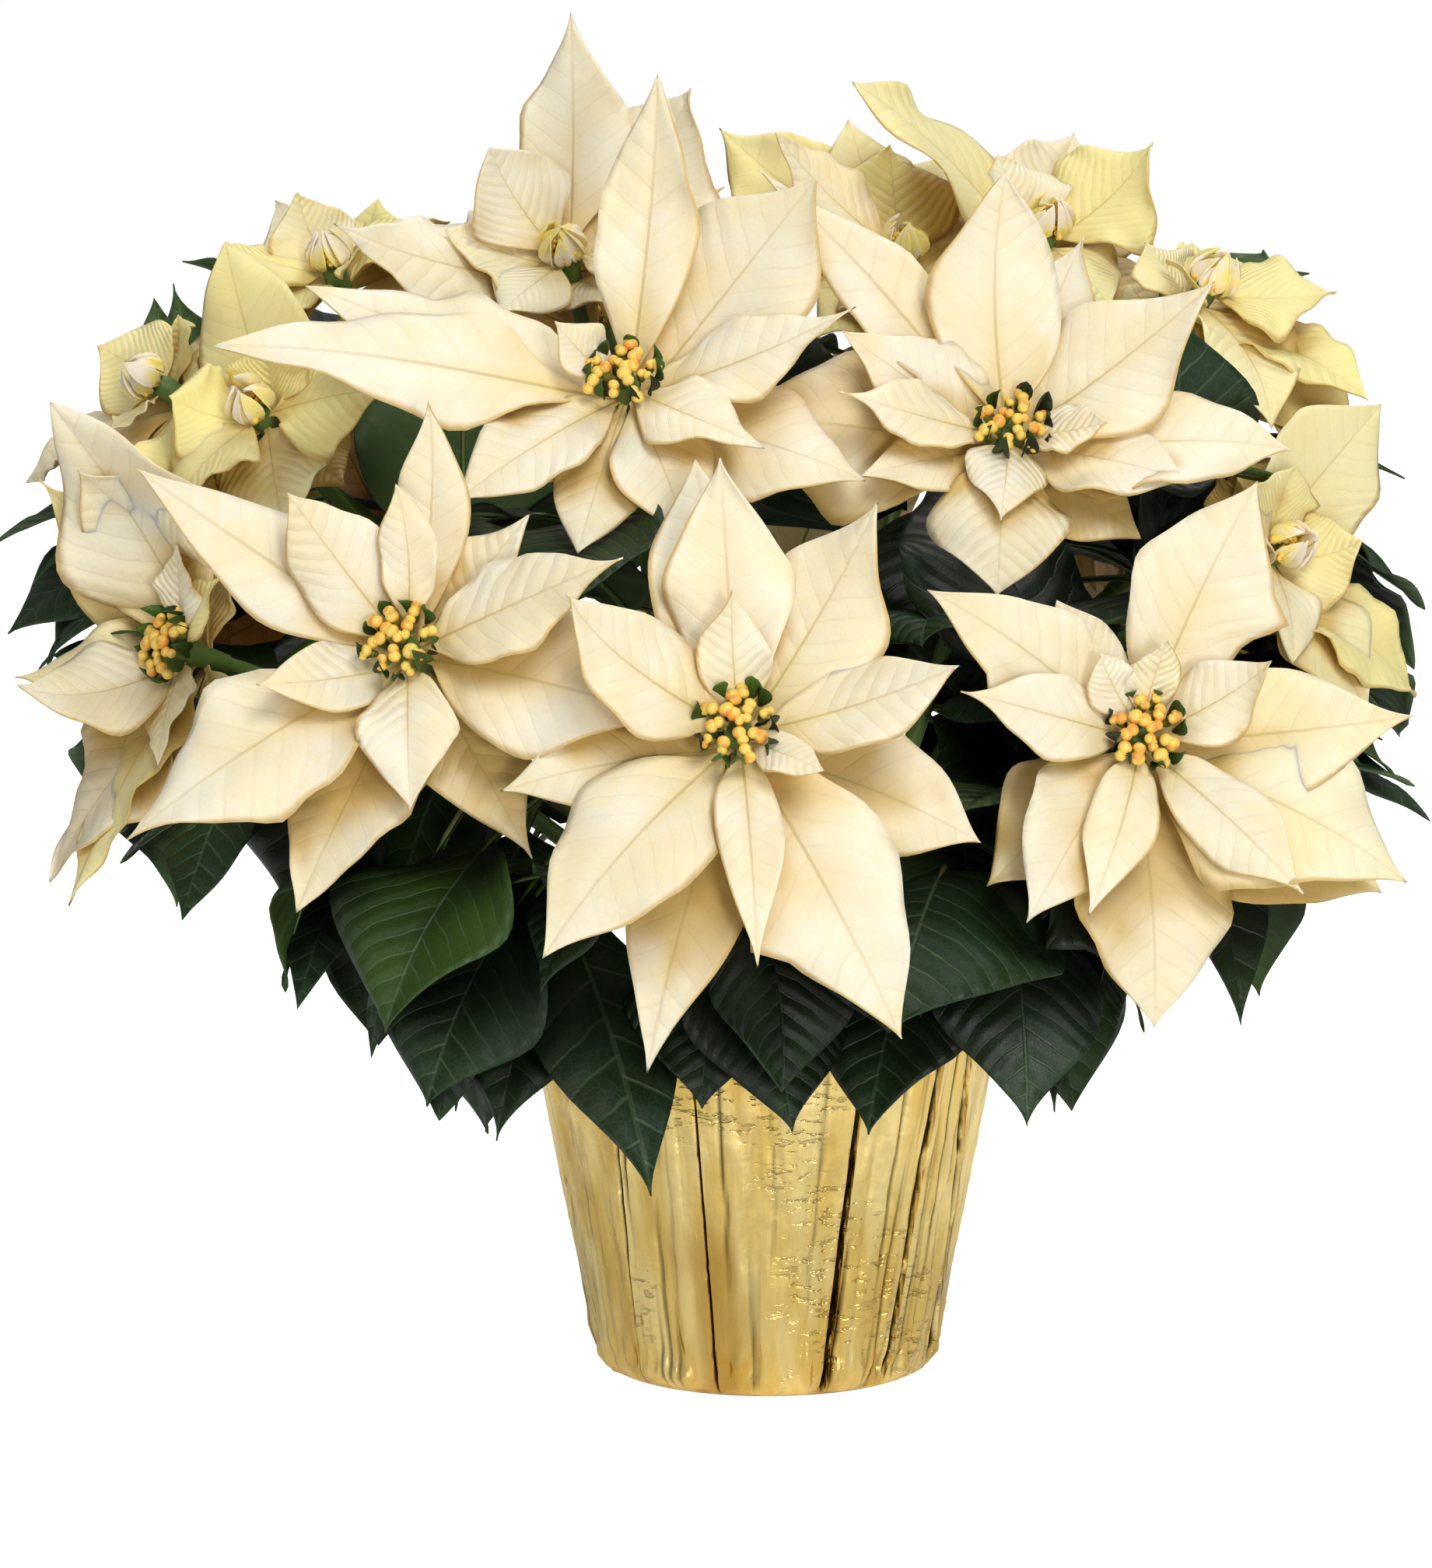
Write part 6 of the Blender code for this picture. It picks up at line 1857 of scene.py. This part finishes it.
def pot_outline():
    foot = FOIL_THICKNESS + SEAT_GAP
    rim = foot + POT_HEIGHT
    lip = rim - POT_LIP_HEIGHT
    return (
        (0.0, foot + POT_WALL),
        (POT_RADIUS_BASE - POT_WALL, foot + POT_WALL),
        (POT_RADIUS_TOP - POT_WALL, rim),
        (POT_RADIUS_TOP + POT_LIP_WIDTH, rim),
        (POT_RADIUS_TOP + POT_LIP_WIDTH - 0.0006, lip),
        (POT_RADIUS_TOP - 0.002, lip),
        (POT_RADIUS_BASE, foot),
        (0.0, foot),
    )


def spun(outline, steps):
    """A chain of points spun about the upright axis, closed and facing out."""
    bpy.ops.mesh.primitive_plane_add(size=1.0)
    made = bpy.context.object
    bpy.ops.object.mode_set(mode="EDIT")
    bpy.ops.mesh.select_all(action="SELECT")
    bpy.ops.mesh.delete(type="VERT")
    edit = bmesh.from_edit_mesh(made.data)
    chain = [edit.verts.new((x, 0.0, z)) for x, z in outline]
    for first, second in zip(chain, chain[1:]):
        edit.edges.new((first, second))
    bmesh.update_edit_mesh(made.data)
    bpy.ops.mesh.select_all(action="SELECT")
    bpy.ops.mesh.spin(steps=steps, angle=2 * math.pi, center=(0, 0, 0), axis=(0, 0, 1))
    bpy.ops.mesh.select_all(action="SELECT")
    bpy.ops.mesh.remove_doubles(threshold=MERGE)
    bpy.ops.mesh.normals_make_consistent(inside=False)
    bpy.ops.object.mode_set(mode="OBJECT")
    bpy.ops.object.shade_smooth_by_angle(angle=math.radians(35))
    return made


pot = finished(dressed(spun(pot_outline(), POT_STEPS), (pot_plastic,)), "pot")
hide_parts("nursery_pot")

# %% [markdown]
# ## The potting mix
#
# Peat fills the pot to a finger below the rim. Its surface is a spun disc with many rings that noise
# makes lumpy, and crumbs of bark and perlite lie on it.

# %% Potting mix and crumbs
MIX_RINGS = 26
MIX_STEPS = 120
LUMP = 0.0016
CRUMB_COUNT = 420
CRUMB_SIZE = (0.0007, 0.0023)


def mix_edge_radius(height):
    slope = (POT_RADIUS_TOP - POT_RADIUS_BASE) / POT_HEIGHT
    inside = POT_WALL + 2.5 * SEAT_GAP
    return POT_RADIUS_BASE + slope * (height - FOIL_THICKNESS - SEAT_GAP) - inside


def mix_outline():
    foot = FOIL_THICKNESS + SEAT_GAP + POT_WALL + SEAT_GAP
    edge = SOIL_TOP - SOIL_MOUND
    rim = mix_edge_radius(edge)
    steps = [k / MIX_RINGS for k in range(MIX_RINGS + 1)]
    top = [(rim * step, SOIL_TOP - SOIL_MOUND * step**2) for step in steps]
    return (*top, (POT_RADIUS_BASE - POT_WALL - 2.5 * SEAT_GAP, foot), (0.0, foot))


def lumpy(x, y):
    return LUMP * noise.fractal(Vector((x * 90, y * 90, 0.0)), 0.7, 2.2, 4)


mix = spun(mix_outline(), MIX_STEPS)
for vertex in mix.data.vertices:
    if vertex.co.z > SOIL_TOP - SOIL_MOUND - 0.001:
        fade = min(1.0, (mix_edge_radius(SOIL_TOP) - vertex.co.xy.length) * 300 + 0.2)
        vertex.co.z += lumpy(vertex.co.x, vertex.co.y) * fade
finished(dressed(mix, (mix_brown,)), "mix")
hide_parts("potting_mix")

bpy.ops.mesh.primitive_ico_sphere_add(subdivisions=1, radius=1.0)
crumb = dressed(bpy.context.object, (mix_brown, perlite))
chance = random.Random("crumbs on the mix")
crumbs = []
for k in range(CRUMB_COUNT):
    out = mix_edge_radius(SOIL_TOP) * 0.95 * math.sqrt(chance.random())
    turn = chance.uniform(0, 2 * math.pi)
    x, y = out * math.cos(turn), out * math.sin(turn)
    size = chance.uniform(*CRUMB_SIZE)
    high = SOIL_TOP - SOIL_MOUND * (out / mix_edge_radius(SOIL_TOP)) ** 2 + lumpy(x, y) + size * 0.2
    tip = Matrix.Rotation(chance.uniform(0, 3), 4, "Z") @ Matrix.Rotation(chance.uniform(0, 3), 4, "X")
    squeeze = Matrix.Diagonal((size, size * chance.uniform(0.5, 1), size * chance.uniform(0.4, 0.8), 1))
    piece = set_at(crumb, Matrix.Translation((x, y, high)) @ tip @ squeeze)
    piece.data.polygons.foreach_set("material_index", [int(k % 3 == 0)] * len(piece.data.polygons))
    crumbs.append(piece)
bpy.data.objects.remove(crumb)
crumbs = finished(joined(crumbs), "crumbs")
print("crumbs on the mix:", CRUMB_COUNT)

# %% [markdown]
# ## Floor and light
#
# The photograph stands on plain white. A pale floor and a white surround give that: both look white to
# the eye, while the light that they give the plant is held low, so that the gaps between its leaves stay
# dark. A broad soft light high in front and to the right draws the form, a weak one on the left opens
# the shadows, one from above lights the crown, and a small low one makes the foil glint.

# %% Stage
FLOOR_SIZE = 30.0
FLOOR_GAP = 0.0004
FLOOR_WHITE = (0.86, 0.86, 0.85, 1.0)
WHITE = (1.0, 1.0, 1.0, 1.0)
BLACK = (0.0, 0.0, 0.0, 1.0)
FLOOR_SHEEN = 0.95
FLOOR_MIRRORED = 0.20
SURROUND_LIGHT = 0.17

# Each light: name, place and size in metres, and power in watts
LIGHTS = (
    ("key", (0.6, -2.3, 2.0), 1.1, 41.0),
    ("fill", (-1.9, -1.7, 1.0), 1.2, 6.5),
    ("top", (0.4, 0.6, 2.5), 1.4, 26.0),
    ("low", (0.5, -2.2, 0.30), 0.30, 11.0),
)
LIGHT_AIM = Vector((0.0, 0.0, 0.27))


def floor_material():
    """White, with a glow of its own that the eye sees and the foil mirrors, as a lit paper sweep has."""
    finish = Finish("floor_white", Roughness=0.9, Emission_Strength=FLOOR_SHEEN)
    cloud = finish.cloud(finish.place(), 0.4)
    colour = finish.mixed(cloud * 0.02, FLOOR_WHITE, WHITE)
    seen = finish.node("ShaderNodeLightPath")
    mirrored = finish.node("ShaderNodeLightPath", output="Is Glossy Ray")
    glow = finish.mixed(seen + mirrored * FLOOR_MIRRORED, BLACK, WHITE)
    return finish.wear(Base_Color=colour, Emission_Color=glow)


def surround():
    """White to the eye, and an even weak light to the plant."""
    world = bpy.data.worlds.new("surround")
    world.use_nodes = True
    nodes, links = world.node_tree.nodes, world.node_tree.links
    path = nodes.new("ShaderNodeLightPath")
    strength = nodes.new("ShaderNodeMapRange")
    strength.inputs["To Min"].default_value = SURROUND_LIGHT
    strength.inputs["To Max"].default_value = 1.0
    links.new(path.outputs["Is Camera Ray"], strength.inputs["Value"])
    links.new(strength.outputs[0], nodes["Background"].inputs["Strength"])
    nodes["Background"].inputs["Color"].default_value = WHITE
    return world


bpy.ops.mesh.primitive_plane_add(size=FLOOR_SIZE, location=(0, 0, -FLOOR_GAP))
floor = bpy.context.object
floor.name = "floor"
floor.data.materials.append(floor_material())
for name, place, size, power in LIGHTS:
    bpy.ops.object.light_add(type="AREA", location=place)
    light = bpy.context.object
    light.name = name
    light.data.size = size
    light.data.energy = power
    light.rotation_euler = (LIGHT_AIM - Vector(place)).to_track_quat("-Z", "Y").to_euler()
bpy.context.scene.world = surround()
bpy.context.scene.view_settings.view_transform = "Standard"
print("lights:", len(LIGHTS))

# %% [markdown]
# The dressed plant has to stay within the imported model's box, apart from a small share.
